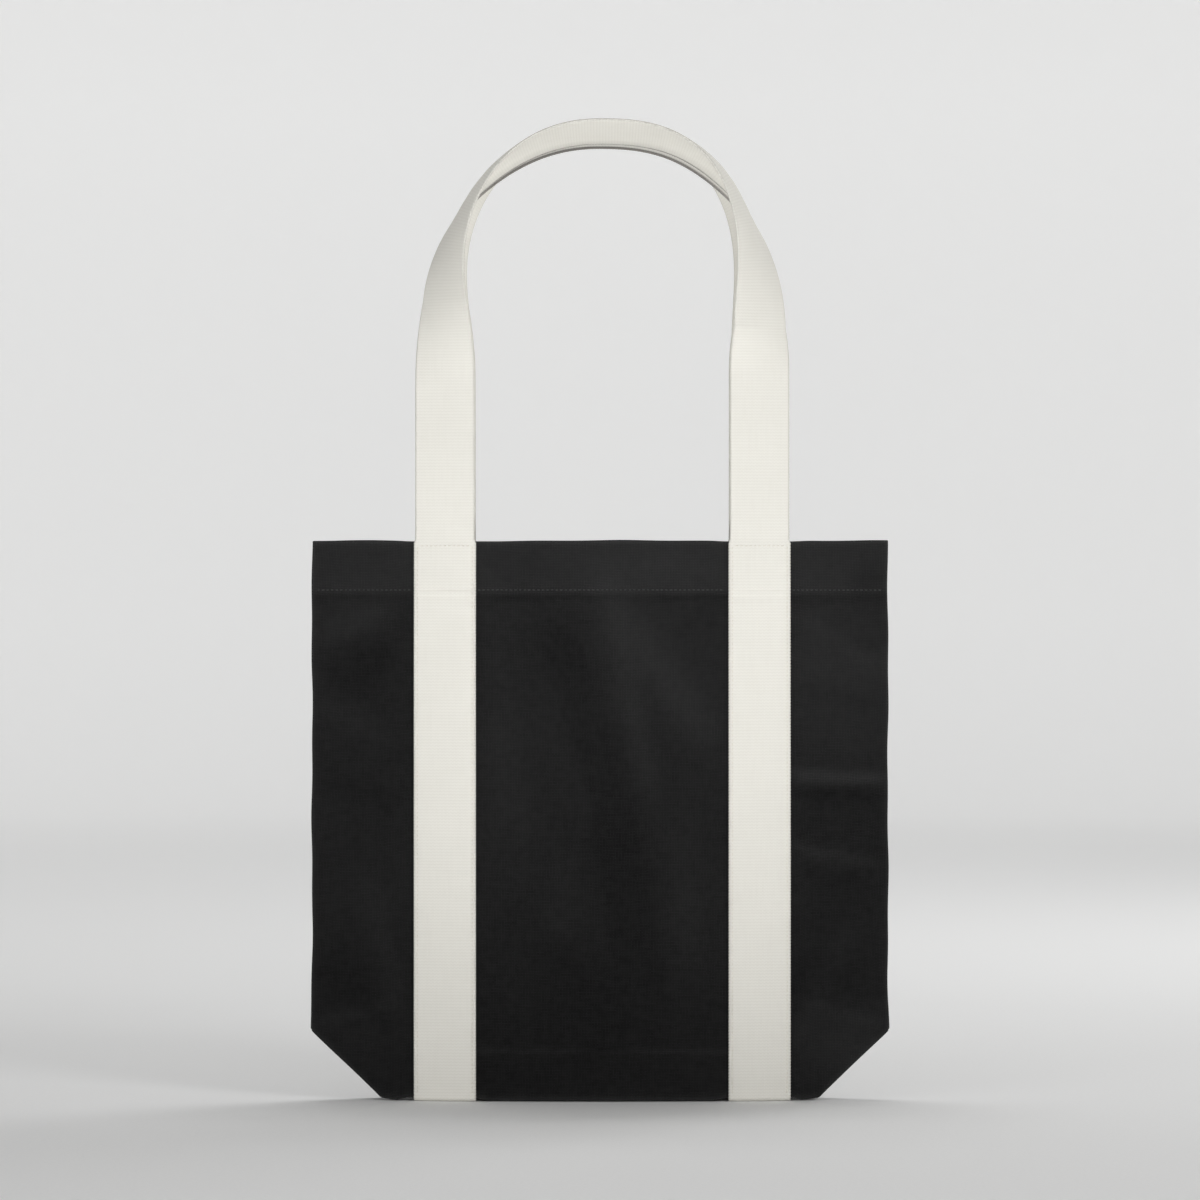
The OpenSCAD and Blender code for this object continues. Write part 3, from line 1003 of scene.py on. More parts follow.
        # the seam folds and side edges lighter: partly wear, partly painted highlight along the edges
        rub_and_shading = rub_and_shading + 0.25 * ((angle > 0) & (angle < 3)) + 0.25 * hump(s.half_width - np.abs(x), 2.0 * MM)
        return np.clip(rub_and_shading + 0.06, 0, 1)

    def make(self, material: bpy.types.Material) -> bpy.types.Object:
        """Builds the panel, which stands for the CAD panel and hem.

        Args:
            material: the canvas.

        Returns:
            The piece.
        """
        s = self.shape
        piece = self.surface().make(f"{self.side.word}_canvas", material, "canvas")
        thicken(piece, s.canvas)
        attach(piece, "bag")
        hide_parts(f"{self.side.word}_panel", f"{self.side.word}_hem")
        return piece


# ---------------------------------------------------------------- webbing


@dataclass(frozen=True)
class Half:
    """One half of a handle, from its leg to its crown.

    Attributes:
        leg_x: x of the middle of its leg.
        arch: height of the arch above the straight leg.
        power: squareness of the arch; 2 is an ellipse.
        twist_run: straight webbing below the arch that already twists.
        cup: how deeply the webbing is cupped at its shoulder.
        hurry: below 1 the twist comes sooner.
    """

    leg_x: float
    arch: float
    power: float
    twist_run: float
    cup: float
    hurry: float

    @property
    def sign(self) -> float:
        """-1 on the left and 1 on the right."""
        return math.copysign(1.0, self.leg_x)

    @property
    def run(self) -> float:
        """The length of webbing in this half of the arch, about."""
        return 1.42 * self.arch


@dataclass
class Strap:
    """One length of webbing: under the base, up a face, round as a handle, down the face and under again.

    Attributes:
        side: the face of the bag.
        shape, relief: the form it is sewn to.
        rise: height of the crown above the mouth.
        left, right: the halves of the handle.
        crown_shift: how far the crown stands to the right.
        width, thickness: of the webbing.
        lift: between the canvas and the webbing.
        crown_turn: turn of the webbing at the crown, in degrees.
        clearance: of the handle from the plane of the side seams.
        under: how far the webbing runs under the base, as a share of the way to the seam.
        rib: pitch of the cross ribs.
        row: from the webbing's middle to the stitching down each edge.
        swell: how much the ribs thicken it, as a share.
        tooth: how far each rib draws the selvedge in.
        pillow: how far the sewn webbing bulges between its rows.
        free_spread, sewn_spread: how much wider than its width it is, as a share, free and sewn down.
        shade_run, shade_band: how far from the crown its low edge is darkened with painted shade, and how far in from
            that edge.
    """

    side: Side
    shape: BagShape
    relief: Relief
    rise: float
    left: Half
    right: Half
    crown_shift: float = 0.0
    width: float = 40 * MM
    thickness: float = 1.8 * MM
    lift: float = 0.15 * MM
    crown_turn: float = 109.0
    clearance: float = 0.45 * MM
    under: float = 0.72
    rib: float = 2.0 * MM
    row: float = 18.0 * MM
    swell: float = 0.022
    tooth: float = 0.30 * MM
    pillow: float = 0.22 * MM
    free_spread: float = -0.012
    sewn_spread: float = 0.032
    shade_run: float = 110 * MM
    shade_band: float = 1.6 * MM

    # ---- the sewn run

    @property
    def wall_lift(self) -> float:
        """From the canvas to the middle of the webbing."""
        return self.lift + self.thickness / 2

    def run_point(self, half: Half, a: Array, q: Array) -> Array:
        """The middle of the webbing on its sewn run.

        q is 0 at the end under the base, 1 where the bottom fold starts, 2 where it ends and 3 at the mouth.
        Under the base it is the base's line, moved out by half the fold's plies. Round the fold it is a half
        circle. On the wall it is the face plus wall_lift.

        Args:
            half: which leg.
            a: distance from the webbing's middle, outwards from the bag's middle.
            q: the place along the run, of a's shape.

        Returns:
            The points.
        """
        s = self.shape
        x = half.leg_x + half.sign * a
        fold = s.foot_fold
        centre_z = s.foot_z(x) + s.canvas / 2 + fold / 2
        out = s.canvas / 2 + self.wall_lift
        foot_b = self.relief.face(x, centre_z) - s.canvas / 2
        radius = out + fold / 2
        turn = np.clip(q - 1, 0, 1) * math.pi
        z = mix(centre_z, s.top_z, np.clip(q - 2, 0, 1))
        wall_b = self.relief.face(x, z) + self.wall_lift
        fold_b, fold_z = foot_b - fold / 2 - radius * np.cos(turn), centre_z - radius * np.sin(turn)
        share = self.under * (1 - np.clip(q, 0, 1))
        slope_b, slope_z = s.seam_b - (foot_b - fold), s.seam_z(x) - centre_z
        length = np.hypot(slope_b, slope_z)
        base_b = foot_b - fold + slope_b * share - out * slope_z / length
        base_z = centre_z + slope_z * share + out * slope_b / length
        # slack in the base's canvas pushes the webbing out with it, and the webbing starts square to the fold
        ease = smooth(share / 0.12)
        base_b = mix(foot_b - fold - out, base_b, ease)
        base_z = mix(centre_z + slope_z * share, base_z, ease)
        b = np.where(q >= 2, wall_b, np.where(q >= 1, fold_b, base_b))
        z = np.where(q >= 2, z, np.where(q >= 1, fold_z, base_z))
        return np.stack([x, self.side.value * b, z], -1)

    # ---- the free handle

    def leg_b(self, half: Half) -> float:
        """b of the middle of the leg at the mouth."""
        return float(self.shape.skin(half.leg_x, self.shape.top_z)) + self.wall_lift

    def leg_turn(self, half: Half) -> float:
        """The turn of the leg in radians, as the face turns it at the mouth."""
        s, w = self.shape, self.width / 2
        inner, outer = (float(s.skin(abs(half.leg_x) + k * w, s.top_z)) for k in (-1, 1))
        return math.atan((inner - outer) / self.width)

    def turn(self, half: Half, along: Array) -> Array:
        """The turn of the webbing: leg_turn, rising to crown_turn as sin(90 share^hurry) over the twisting length.

        So that the twist starts from rest, share^hurry is (share^2 + 0.1^2)^(hurry / 2), less its value at 0.
        """
        share = np.clip((half.twist_run + along) / (half.twist_run + half.run), 0, 1)
        soft, power = 0.10, half.hurry
        share = ((share**2 + soft**2) ** (power / 2) - soft**power) / ((1 + soft**2) ** (power / 2) - soft**power)
        return mix(self.leg_turn(half), math.radians(self.crown_turn), np.sin(np.pi / 2 * share))

    def spring_z(self, half: Half) -> float:
        """Where the arch springs from the leg, so that the webbing's upper edge reaches the rise at the crown."""
        turn = math.radians(self.crown_turn)
        crown = self.shape.top_z + self.rise + self.width / 2 * math.cos(turn) - self.thickness / 2 * math.sin(turn)
        return crown - half.arch

    def cup(self, half: Half, angle: Array) -> Array:
        """How deeply the webbing is cupped: cup sin(2 angle)^1.5, nothing at the spring and at the crown."""
        return half.cup * np.clip(np.sin(2 * angle), 0, 1) ** 1.5

    def lean(self) -> float:
        """How far the webbing leans outwards for each unit of sin(turn), so that it clears the other handle."""
        most = 0.0
        for half in (self.left, self.right):
            angle = np.linspace(0, np.pi / 2, 46)[1:]
            turn = self.turn(half, angle / (np.pi / 2) * half.run)
            depth = self.cup(half, angle) + self.thickness / 2
            reach = self.width / 2 * np.sin(turn) + depth * np.abs(np.cos(turn))
            rise = np.maximum(np.sin(turn) - math.sin(self.leg_turn(half)), 0.05)
            most = max(most, float(np.max((reach + self.clearance - self.leg_b(half)) / rise)))
        return most

    def handle_point(self, half: Half, a: Array, along: Array) -> Array:
        """The middle of the webbing on its free part.

        The centre line is a straight leg and then a quarter of a superellipse. The webbing turns about it, leans
        outwards as sin(turn) and is cupped by cup sin(2 angle) (a / half width)^2.

        Args:
            half: which half.
            a: distance from the webbing's middle, outwards from the arch.
            along: distance along the arch from its spring, negative on the leg; of a's shape.

        Returns:
            The points.
        """
        angle = np.clip(along / half.run, 0, 1) * np.pi / 2
        cos, sin = np.maximum(np.cos(angle), 1e-9), np.maximum(np.sin(angle), 1e-9)
        reach = abs(half.leg_x)
        cx = half.sign * reach * cos ** (2 / half.power)
        cz = self.spring_z(half) + np.where(along > 0, half.arch * sin ** (2 / half.power), along)
        ox, oz = cos ** (2 - 2 / half.power) / reach, sin ** (2 - 2 / half.power) / half.arch
        ox, oz = np.where(along > 0, ox, 1.0), np.where(along > 0, oz, 0.0)
        size = np.hypot(ox, oz)
        ox, oz = half.sign * ox / size, oz / size
        turn = self.turn(half, along)
        cup = self.cup(half, angle) * (a / (self.width / 2)) ** 2
        lean = self.lean() * (np.sin(turn) - math.sin(self.leg_turn(half)))
        middle = (self.leg_b(self.left) + self.leg_b(self.right)) / 2
        b = mix(self.leg_b(half), middle, smooth(angle / (np.pi / 2))) + lean - a * np.sin(turn) - cup * np.cos(turn)
        out = a * np.cos(turn) - cup * np.sin(turn)
        shift = self.crown_shift * smooth((cz - self.spring_z(half)) / half.arch)
        return np.stack([cx + out * ox + shift, self.side.value * b, cz + out * oz], -1)

    # ---- the whole length

    def half_line(self, half: Half, a: Array, step: float) -> tuple[Array, Array]:
        """The middle of the webbing over one half, from the end under the base to the crown.

        The run and the handle are joined over 14 mm above the mouth, where the difference between them fades as a
        smoothstep. Stations are spread evenly by the length of the centre line.

        Args:
            half: which half.
            a: the places across the webbing.
            step: distance between stations.

        Returns:
            The points, stations by len(a) by 3, and the station of the mouth.
        """
        s = self.shape
        leg = self.spring_z(half) - s.top_z
        q = np.concatenate([np.linspace(0, 1, 40)[:-1], np.linspace(1, 2, 60)[:-1], np.linspace(2, 3, 700)])
        run = self.run_point(half, *np.broadcast_arrays(a[None, :], q[:, None]))
        along = np.concatenate([np.linspace(-leg, 0, 200)[1:], np.linspace(0, half.run, 900)[1:]])
        free = self.handle_point(half, *np.broadcast_arrays(a[None, :], along[:, None]))
        foot = self.handle_point(half, *np.broadcast_arrays(a[None, :], np.array([[-leg]])))
        free = free + (run[-1:] - foot) * (1 - smooth((along + leg) / (14 * MM)))[:, None, None]
        points = np.concatenate([run, free])
        middle = points[:, len(a) // 2]
        length = np.concatenate([[0], np.cumsum(np.linalg.norm(np.diff(middle, axis=0), axis=-1))])
        even = np.linspace(0, length[-1], round(length[-1] / step) + 1)
        flat = points.reshape(len(points), -1)
        spread = np.stack([np.interp(even, length, flat[:, k]) for k in range(flat.shape[1])], -1)
        return spread.reshape(len(even), len(a), 3), np.interp(length[len(run) - 1], even, np.arange(len(even)))

    def ring(self) -> tuple[Array, Array]:
        """The webbing's cross-section: places across it, and heights over its middle as shares of half its thickness.

        The outer face has its points close together near the sewn rows. Each selvedge is a half ellipse.
        """
        w = self.width / 2
        outer = np.array([1.0, 0.985, 0.955, 0.925, 0.90, 0.87, 0.80, 0.60, 0.30, 0.0]) * w
        inner = np.array([0.985, 0.90, 0.60, 0.0]) * w
        a = np.concatenate([outer, -outer[-2::-1], -inner[:-1], inner[::-1]])
        face = np.concatenate([np.ones(19), -np.ones(7)])
        round_off = 1.1 * MM
        lift = np.sqrt(np.clip(1 - (np.maximum(0, np.abs(a) - (w - round_off)) / round_off) ** 2, 0, 1))
        return a, face * lift

    def line(self, a: Array, step: float) -> tuple[Array, float, float]:
        """The middle of the webbing from end to end, and the stations of its two mouths."""
        left, mouth_l = self.half_line(self.left, a, step)
        right, mouth_r = self.half_line(self.right, a, step)
        return np.concatenate([left, right[-2::-1]]), mouth_l, len(left) + len(right) - 2 - mouth_r

    def surface(self) -> Surface:
        """The webbing as a closed tube round its middle surface.

        Each ring point is the middle point plus its height times the normal, the cross product of the differences
        across and along. The ribs swell the height by 1 + swell cos(2 pi length / rib). On the sewn runs the outer
        face dips by a bell at each sewn row, and more at each stitch.

        Returns:
            The closed surface.
        """
        step = 0.5 * MM
        a, height = self.ring()
        middle, mouth_l, mouth_r = self.line(a, step)
        delta = 0.05 * MM
        beside, _, _ = self.line(a + delta, step)
        normal = unit(np.cross(beside - middle, np.gradient(middle, axis=0)))
        normal = normal * -1.0 if self.side is Side.BACK else normal
        # the normal looks into the bag, so the outer face is against it
        station = np.arange(len(middle))
        along = station * step
        sewn = smooth((mouth_l - station) * step / (4 * MM)) + smooth((station - mouth_r) * step / (4 * MM))
        ribs = 1 + self.swell * np.cos(2 * np.pi * along / self.rib)[:, None]
        edge = np.abs(a)[None, :]
        stitch = 0.5 + 0.5 * np.cos(2 * np.pi * along / (3 * MM))[:, None]
        groove = sewn[:, None] * hump(edge - self.row, 0.7 * MM) * (0.16 + 0.14 * stitch) * MM
        above = smooth((middle[:, len(a) // 3, 2:] - 4 * MM) / (10 * MM))
        crown = sewn[:, None] * above * self.pillow * (1 - (edge / (self.width / 2)) ** 2)
        across = unit(beside - middle)
        mouth = smooth(((mouth_l - station) * step + 1.5 * MM) / (3 * MM)) + smooth(
            ((station - mouth_r) * step + 1.5 * MM) / (3 * MM))
        spread = mix(self.free_spread, self.sewn_spread, mouth)[:, None] * a[None, :]
        tooth = 0.5 + 0.5 * np.cos(2 * np.pi * along / self.rib)[:, None]
        spread = spread - self.tooth * tooth * np.sign(a) * (edge > 0.95 * self.width / 2)
        out = self.thickness / 2 * ribs * height[None, :]
        out = np.where(height[None, :] > 0.5, out - groove, out) + crown * (height[None, :] > 0)
        rings = middle - normal * out[..., None] + across * spread[..., None]
        # painted shade: the low edge of the handle near its crown is darkened to stand for the shaded band under the
        # crown
        crown_at = (mouth_l + mouth_r) / 2
        crown_shade = smooth(1.5 - np.abs(station - crown_at) * step / self.shade_run)[:, None]
        # both selvedges darker: partly wear of the edges, partly painted shade that tones down their lit rims
        wear_and_shading = 0.22 * hump(edge - self.width / 2, 1.0 * MM)
        # painted shade along the low edge near the crown
        wear_and_shading = wear_and_shading + 0.95 * crown_shade * hump(a[None, :] - self.width / 2, self.shade_band)
        return capped_tube(rings, along, a, wear_and_shading)

    def length(self) -> float:
        """The length of the webbing along its middle."""
        middle, _, _ = self.line(np.array([-1 * MM, 0.0, 1 * MM]), 1 * MM)
        return float(np.linalg.norm(np.diff(middle[:, 1], axis=0), axis=-1).sum())

    def make(self, material: bpy.types.Material) -> bpy.types.Object:
        """Builds the webbing, which stands for both sewn straps and the handle of the CAD model.

        Args:
            material: the webbing.

        Returns:
            The piece, at the origin.
        """
        word = self.side.word
        piece = self.surface().make(f"{word}_webbing", material, "webbing")
        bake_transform(piece)
        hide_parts(f"{word}_strap_left", f"{word}_strap_right", f"{word}_handle")
        self.length()
        return piece


# ---------------------------------------------------------------- sewing


@dataclass
class Sewing:
    """Rows of separate stitches, each an arched thread whose ends dive into the cloth.

    Attributes:
        pitch, length: from stitch to stitch, and of the thread that shows.
        thread: diameter.
        dive: how deep its ends go.
    """

    pitch: float = 3.0 * MM
    length: float = 2.5 * MM
    thread: float = 0.55 * MM
    dive: float = 0.45 * MM

    def stitches(self, places: Array, runs: Array, outs: Array, seed: int) -> Surface:
        """Every stitch of a row.

        Along a stitch, s goes from -1 to 1. Its middle line rises as 1 - s^4 from its ends, and its radius shrinks
        to a fifth at its ends. Each stitch is turned and sized a little at random.

        Args:
            places: n points on the cloth.
            runs: n unit vectors along the row.
            outs: n unit vectors out of the cloth.
            seed: of the small differences.

        Returns:
            The stitches as closed shells in one surface.
        """
        draw = np.random.default_rng(seed)
        n, rings, sides = len(places), 6, 6
        sideways = np.cross(outs, runs)
        tilt = draw.normal(0, 0.05, (n, 1))
        runs = unit(runs + sideways * tilt)
        sideways = unit(np.cross(outs, runs))
        s = np.linspace(-1, 1, rings)
        size = 1 + draw.normal(0, 0.05, (n, 1))
        rise = (self.dive + self.thread * 0.35) * (1 - s**4) - self.dive
        radius = self.thread / 2 * (1 - 0.8 * np.abs(s) ** 5)
        line = (places[:, None] + runs[:, None] * (s * self.length / 2 * size)[..., None]
                + outs[:, None] * (rise[None, :] + 0 * size)[..., None])
        angle = np.arange(sides) * 2 * np.pi / sides
        ring = (sideways[:, None, None] * np.cos(angle)[None, None, :, None] * 1.12
                + outs[:, None, None] * np.sin(angle)[None, None, :, None] * 0.9) * radius[None, :, None, None]
        points = line[:, :, None] + ring
        tube = grid_quads(rings, sides, wrap=True)
        cap = np.array([[0, 5, 4, 3], [0, 3, 2, 1]])
        last = cap[:, ::-1] + (rings - 1) * sides
        faces = np.concatenate([tube, cap, last])
        faces = (faces[None] + (np.arange(n) * rings * sides)[:, None, None]).reshape(-1, 4)
        cloth = np.stack(np.broadcast_arrays((angle * self.thread / 2)[None, None, :],
                                             (s * self.length / 2)[None, :, None] + 0 * size[:, :, None]), -1)
        return Surface(points.reshape(-1, 3), faces, cloth.reshape(-1, 2), np.zeros(points[..., 0].size)).outward()

    def on_panel(self, relief: Relief, side: Side, start: tuple[float, float], end: tuple[float, float],
                 proud: float, seed: int) -> Surface:
        """A row on one face of the bag, between two places (x, z).

        Args:
            relief, side: the face.
            start, end: the ends of the row.
            proud: how far out of the panel's outer face the sewn surface is.
            seed: of the small differences.

        Returns:
            The stitches.
        """
        span = math.hypot(end[0] - start[0], end[1] - start[1])
        share = (np.arange(int(span / self.pitch)) + 0.5) * self.pitch / span
        x, z = mix(start[0], end[0], share), mix(start[1], end[1], share)

        def place(x: Array, z: Array) -> Array:
            """The point of the sewn surface over (x, z)."""
            return np.stack([x, side.value * (relief.face(x, z) + proud), z], -1)

        step = 0.5 * MM
        run = unit(place(x + (end[0] - start[0]) / span * step, z + (end[1] - start[1]) / span * step) - place(x, z))
        across = unit(place(x + step, z) - place(x, z))
        up = unit(place(x, z + step) - place(x, z))
        return self.stitches(place(x, z), run, unit(np.cross(across, up)) * -side.value, seed)


@dataclass
class Seams:
    """All the rows of stitches that show on one face of the bag.

    Attributes:
        side: the face of the bag.
        strap: its webbing.
        sewing: how a stitch is made.
    """

    side: Side
    strap: Strap
    sewing: Sewing = field(default_factory=Sewing)

    def hem(self) -> Surface:
        """The hem row, which the straps cover where they cross it."""
        s, relief = self.strap.shape, self.strap.relief
        z, half = s.top_z - s.hem_row, s.strap_width / 2 + 1 * MM
        ends = (-s.half_width + 3 * MM, s.left_leg - half, s.left_leg + half, s.right_leg - half, s.right_leg + half,
                s.half_width - 3 * MM)
        return Surface.joined([self.sewing.on_panel(relief, self.side, (a, z), (b, z), -0.10 * MM, 11 + k)
                               for k, (a, b) in enumerate(zip(ends[::2], ends[1::2]))])

    def straps(self) -> Surface:
        """The rows down both edges of both straps."""
        strap, s = self.strap, self.strap.shape
        proud = strap.lift + strap.thickness - 0.12 * MM
        return Surface.joined([
            self.sewing.on_panel(strap.relief, self.side, (half.leg_x + k * strap.row, s.base_z + 3 * MM),
                                 (half.leg_x + k * strap.row, s.top_z - 2 * MM), proud, 21 + int(k))
            for half in (strap.left, strap.right) for k in (-1, 1)])

    def tacks(self) -> Surface:
        """The short rows across both straps that tack the handle to the mouth."""
        strap, s = self.strap, self.strap.shape
        z, proud, reach = s.top_z - 3 * MM, strap.lift + strap.thickness + 0.05 * MM, strap.row - 1.5 * MM
        return Surface.joined([
            self.sewing.on_panel(strap.relief, self.side, (half.leg_x - reach, z), (half.leg_x + reach, z), proud, 31)
            for half in (strap.left, strap.right)])

    def make(self, dark: bpy.types.Material, pale: bpy.types.Material) -> None:
        """Builds the three pieces of stitching of this side.

        Args:
            dark, pale: the two threads.
        """
        word = self.side.word
        for surface, part, material, slot in ((self.hem(), "hem_stitching", dark, "dark_thread"),
                                              (self.straps(), "strap_stitching", pale, "pale_thread"),
                                              (self.tacks(), "handle_tacks", pale, "pale_thread")):
            piece = surface.make(f"{word}_{part}_rows", material, slot)
            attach(piece, "bag")
            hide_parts(f"{word}_{part}")


# ---------------------------------------------------------------- inside


@dataclass
class Bindings:
    """The tapes over the seam allowances inside the bag, and the blank label caught in the left seam.

    Attributes:
        shape: the form they lie in.
        tape, label_ply: thickness of the tape and of each ply of the label.
        allowance_b: b of the outside of the allowances that the tape is folded over.
    """

    shape: BagShape
    tape: float = 0.3 * MM
    label_ply: float = 0.14 * MM
    allowance_b: float = 1.08 * MM

    def side_tape(self, sign: float) -> Surface:
        """A tape folded over the edges of a side seam's allowances, upright.

        Its cross-section is a line in, a half circle round the edge and a line back. It wavers by 0.25 mm.
        """
        s = self.shape
        b, reach = self.allowance_b + self.tape / 2, 11.0 * MM
        turn = np.linspace(-np.pi / 2, np.pi / 2, 9)
        flat = np.linspace(0, 1, 6)
        depth = np.concatenate([mix(1.5 * MM, reach - b, flat[:-1]), reach - b + b * np.cos(turn),
                                mix(reach - b, 1.5 * MM, flat[1:])])
        y = np.concatenate([np.full(5, -b), b * np.sin(turn), np.full(5, b)])
        z = np.linspace(s.base_z + s.gusset / 2 + 1 * MM, s.top_z - s.hem_edge + 2 * MM, 120)
        waver = 0.25 * MM * np.sin(2 * np.pi * z / (37 * MM)) * smooth((depth / reach - 0.5) * 2)[:, None]
        px = sign * (s.half_width - depth[:, None] - waver) + s.waver(np.array(sign * s.half_width), z)[0][None, :]
        points = np.stack(np.broadcast_arrays(px, y[:, None], z[None, :]), -1)
        cloth = np.stack(np.broadcast_arrays((np.arange(len(y)) * 1.5 * MM)[:, None], z[None, :]), -1)
        made = Surface.of_grid(points, cloth)
        return made if sign > 0 else made.turned()

    def bottom_tape(self) -> Surface:
        """A tape folded over the allowances that stand on the bottom seam, level."""
        s = self.shape
        b = self.allowance_b + self.tape / 2
        x = np.linspace(-s.corner_x + 4 * MM, s.corner_x - 4 * MM, 110)
        turn = np.linspace(0, np.pi, 9)
        up = np.concatenate([np.linspace(0.6 * MM, 8.2 * MM, 5)[:-1], 8.2 * MM + b * np.sin(turn),
                             np.linspace(8.2 * MM, 0.6 * MM, 5)[1:]])
        y = np.concatenate([np.full(4, b), b * np.cos(turn), np.full(4, -b)])
        waver = 0.2 * MM * np.sin(2 * np.pi * x / (31 * MM))
        z = s.seam_z(x)[None, :] + up[:, None] + waver[None, :] * (up[:, None] / (9 * MM))
        points = np.stack(np.broadcast_arrays(x[None, :], y[:, None], z), -1)
        cloth = np.stack(np.broadcast_arrays(x[None, :], (np.arange(len(y)) * 1.2 * MM)[:, None]), -1)
        return Surface.of_grid(points, cloth).turned()

    def corner_tape(self, sign: float, side: Side) -> Surface:
        """A tape over a boxed corner seam, domed over the allowance under it, on the base inside the bag."""
        s = self.shape
        across, share = np.linspace(-1, 1, 13)[None, :], np.linspace(0.42, 0.90, 22)[:, None]
        x = sign * (s.corner_x + 4 * MM * across)
        foot_z = s.foot_z(x) + s.canvas / 2 + s.foot_fold / 2
        start = s.skin(x, foot_z) - s.canvas / 2 - s.foot_fold
        b = mix(start, s.seam_b, share) + s.canvas / 2 + 0.25 * MM + 0.9 * MM * np.sqrt(np.clip(1 - across**4, 0, 1))
        z = mix(foot_z, s.seam_z(x), share)
        points = np.stack(np.broadcast_arrays(x, side.value * b, z), -1)
        cloth = np.stack(np.broadcast_arrays(4 * MM * across, 45 * MM * share), -1)
        return Surface.of_grid(points, cloth)

    def label(self) -> Surface:
        """The blank label: a strip folded in two, its free fold rolled and its plies slightly apart and bent."""
        s = self.shape
        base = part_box("care_label")
        length, width = base[1][0] - base[0][0] - 1 * MM, base[1][2] - base[0][2]
        turn = np.linspace(-np.pi / 2, np.pi / 2, 9)
        gap = self.label_ply
        flat = np.linspace(0, length, 20)
        out = np.concatenate([flat, length + gap * np.cos(turn)[1:-1], flat[::-1]])
        y = np.concatenate([np.full(20, -gap), gap * np.sin(turn)[1:-1], np.full(20, gap)])
        y = y * (1 + 2.0 * np.sin(np.pi * out / length) ** 2) + 0.8 * MM * np.sin(1.2 * np.pi * out / length)
        across = np.linspace(0, width, 14)
        points = np.stack(np.broadcast_arrays(base[0][0] + out[:, None], y[:, None] + 0 * across[None, :],
                                              base[0][2] + across[None, :]), -1)
        cloth = np.stack(np.broadcast_arrays(out[:, None], across[None, :]), -1)
        return Surface.of_grid(points, cloth)

    def make(self, tape: bpy.types.Material, satin: bpy.types.Material) -> None:
        """Builds the tapes and the label, each standing for one CAD node.

        Args:
            tape, satin: their finishes.
        """

        def sewn_in(surface: Surface, name: str, node: str) -> bpy.types.Object:
            """A strip that rides on the bag and stands for the node."""
            if node == "care_label":
                piece = surface.make(name, satin, "label_tape")
                thicken(piece, self.label_ply)
            else:
                piece = surface.make(name, tape, "binding_tape")
                thicken(piece, self.tape)
            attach(piece, "bag")
            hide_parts(node)
            return piece

        for sign, word in ((-1.0, "left"), (1.0, "right")):
            side_tape = sewn_in(self.side_tape(sign), f"{word}_side_tape", f"{word}_side_binding")
            corners = Surface.joined([self.corner_tape(sign, side) for side in Side])
            sewn_in(corners, f"{word}_corner_tape", f"{word}_corner_binding")
        bottom_tape = sewn_in(self.bottom_tape(), "bottom_seam_tape", "bottom_seam_binding")
        label = sewn_in(self.label(), "blank_label", "care_label")


# ---------------------------------------------------------------- studio


@dataclass(frozen=True)
class Lamp:
    """A square soft light.

    Attributes:
        name: its name.
        place: its middle.
        size: its side.
        power: in watts.
        target: the point that it faces.
    """

    name: str
    place: tuple[float, float, float]
    size: float
    power: float
    target: tuple[float, float, float] = (0.0, 0.0, 0.33)

    def make(self) -> None:
        """Sets the light up. It lights the bag, and isn't seen itself."""
        lamp = bpy.data.lights.new(self.name, "AREA")
        lamp.shape, lamp.size, lamp.energy = "SQUARE", self.size, self.power
        made = bpy.data.objects.new(self.name, lamp)
        made.location = self.place
        made.rotation_euler = (Vector(self.target) - Vector(self.place)).to_track_quat("-Z", "Y").to_euler()
        made.visible_camera = False
        bpy.context.scene.collection.objects.link(made)


LAMPS = (
    Lamp("key_light", (1.75, -1.85, 1.5), 0.9, 16.0),
    Lamp("left_fill", (-1.9, -1.9, 0.8), 1.5, 9.2),
    Lamp("low_fill", (0.0, -1.25, 0.05), 0.5, 1.6, (0.0, 0.0, 0.5)),
    Lamp("floor_bounce", (0.0, -0.62, 0.12), 0.3, 2.95, (0.0, -0.45, 0.70)),
    Lamp("rear_fill", (1.7, 1.4, 1.4), 1.0, 12.0),
    Lamp("sweep_light", (0.0, 0.7, 3.0), 1.5, 38.0, (0.0, 2.8, 0.9)),
)


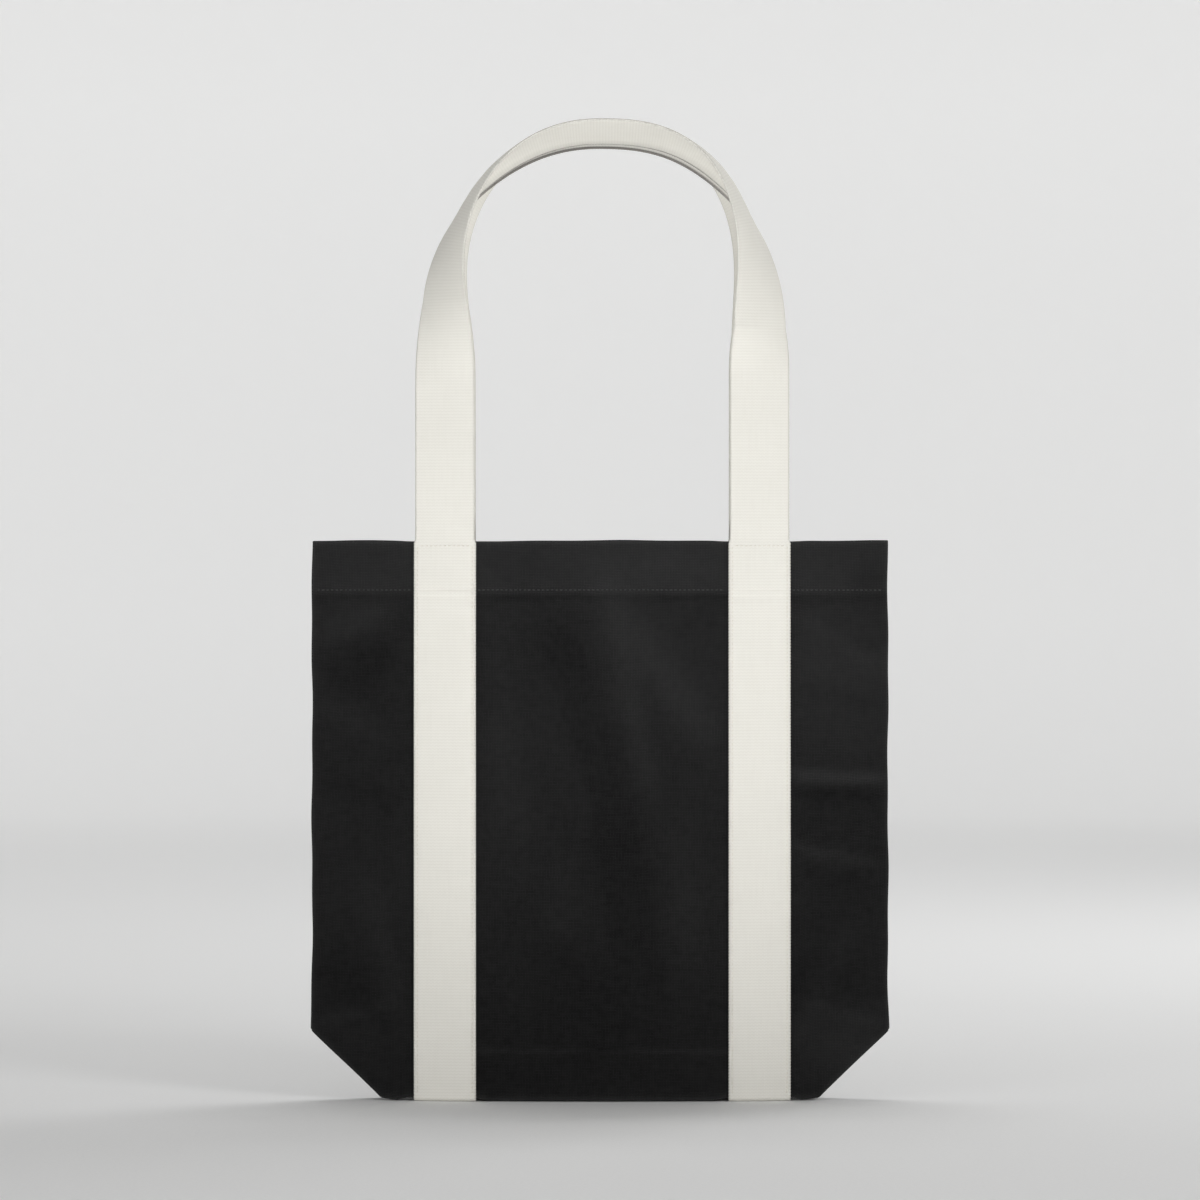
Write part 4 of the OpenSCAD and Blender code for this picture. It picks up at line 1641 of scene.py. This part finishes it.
@dataclass
class Stage:
    """The paper floor and wall, the lights and the camera.

    Attributes:
        eye_z: height of the camera.
        distance: from the camera to the plane of the side seams.
        frame_width: width of the view there.
        floor, bend, wall: how far the floor is level, how it curves up, and the height of the wall round it.
        glow: strength of the even white light from all sides.
    """

    eye_z: float = 0.3294
    distance: float = 3.2
    frame_width: float = 0.792
    floor: float = 4.2
    bend: float = 1.2
    wall: float = 2.6
    glow: float = 0.22

    def paper(self, material: bpy.types.Material) -> None:
        """A round floor that curves up into a wall on every side: level, a quarter circle, then upright."""
        turn = np.linspace(0, np.pi / 2, 25)[1:]
        level = np.array([0.0, 1.0, 2.0, 3.0, self.floor])
        reach = np.concatenate([level, self.floor + self.bend * np.sin(turn), [self.floor + self.bend]])
        z = np.concatenate([0 * level, self.bend * (1 - np.cos(turn)), [self.wall]])
        around = np.arange(96) * 2 * np.pi / 96
        points = np.stack(np.broadcast_arrays(reach[:, None] * np.cos(around), reach[:, None] * np.sin(around),
                                              z[:, None]), -1)
        made = Surface.of_grid(points, points[..., :2].copy(), wrap=True)
        made.turned().make("studio_sweep", material)

    def camera(self) -> None:
        """A long lens at the height of the bag's middle, looking along +Y."""
        lens = bpy.data.cameras.new("camera")
        lens.sensor_width = 36.0
        lens.lens = lens.sensor_width * self.distance / self.frame_width
        lens.clip_end = 60.0
        made = bpy.data.objects.new("camera", lens)
        made.location = (0.0, -self.distance, self.eye_z)
        made.rotation_euler = (math.pi / 2, 0.0, 0.0)
        bpy.context.scene.collection.objects.link(made)
        bpy.context.scene.camera = made

    def make(self) -> None:
        """Sets up the studio."""
        scene = bpy.context.scene
        scene.view_settings.view_transform = "Standard"
        world = bpy.data.worlds.new("studio")
        world.use_nodes = True
        world.node_tree.nodes["Background"].inputs[0].default_value = (1.0, 1.0, 1.0, 1.0)
        world.node_tree.nodes["Background"].inputs[1].default_value = self.glow
        scene.world = world
        self.paper(Studio().make())
        for lamp in LAMPS:
            lamp.make()
        self.camera()


def main() -> None:
    """Builds every piece of the bag in order, then the studio."""
    low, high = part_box("front_panel")
    shape = BagShape(half_width=float(high[0]), base_z=float(low[2]), top_z=float(high[2]))
    canvas, webbing = Canvas().make(), Webbing().make()
    tape = Tape("black_twill_tape", (0.004, 0.004, 0.004), (0.020, 0.020, 0.021), 0.7 * MM, 0.85).make()
    satin = Tape("white_satin", (0.62, 0.61, 0.58), (0.84, 0.83, 0.80), 0.35 * MM, 0.45).make()
    dark = Thread("charcoal_thread", (0.012, 0.012, 0.012), (0.062, 0.062, 0.062)).make()
    pale = Thread("cream_thread", (0.55, 0.52, 0.45), (0.80, 0.77, 0.70)).make()
    left = Half(shape.left_leg, 110.0 * MM, 2.31, 57.8 * MM, 5.4 * MM, 0.85)
    right = Half(shape.right_leg, 128.6 * MM, 2.88, 30.3 * MM, 6.8 * MM, 0.53)
    rises = {Side.FRONT: 276 * MM, Side.BACK: 273.6 * MM}
    crown_shifts = {Side.FRONT: 0.0, Side.BACK: -1.2 * MM}
    for side, marks, patches, seed in ((Side.FRONT, FRONT_CREASES, FRONT_FADES_AND_SHADING, 5),
                                       (Side.BACK, BACK_CREASES, BACK_FADES_AND_SHADING, 17)):
        relief = Relief(shape, marks, patches, seed)
        CanvasPanel(side, shape, relief).make(canvas)
        strap = Strap(side, shape, relief, rises[side], left, right, crown_shifts[side])
        strap.make(webbing)
        Seams(side, strap).make(dark, pale)
    Bindings(shape).make(tape, satin)
    Stage().make()


if __name__ == "__main__":
    logging.basicConfig(level=logging.INFO, format="%(name)s: %(message)s")
    main()
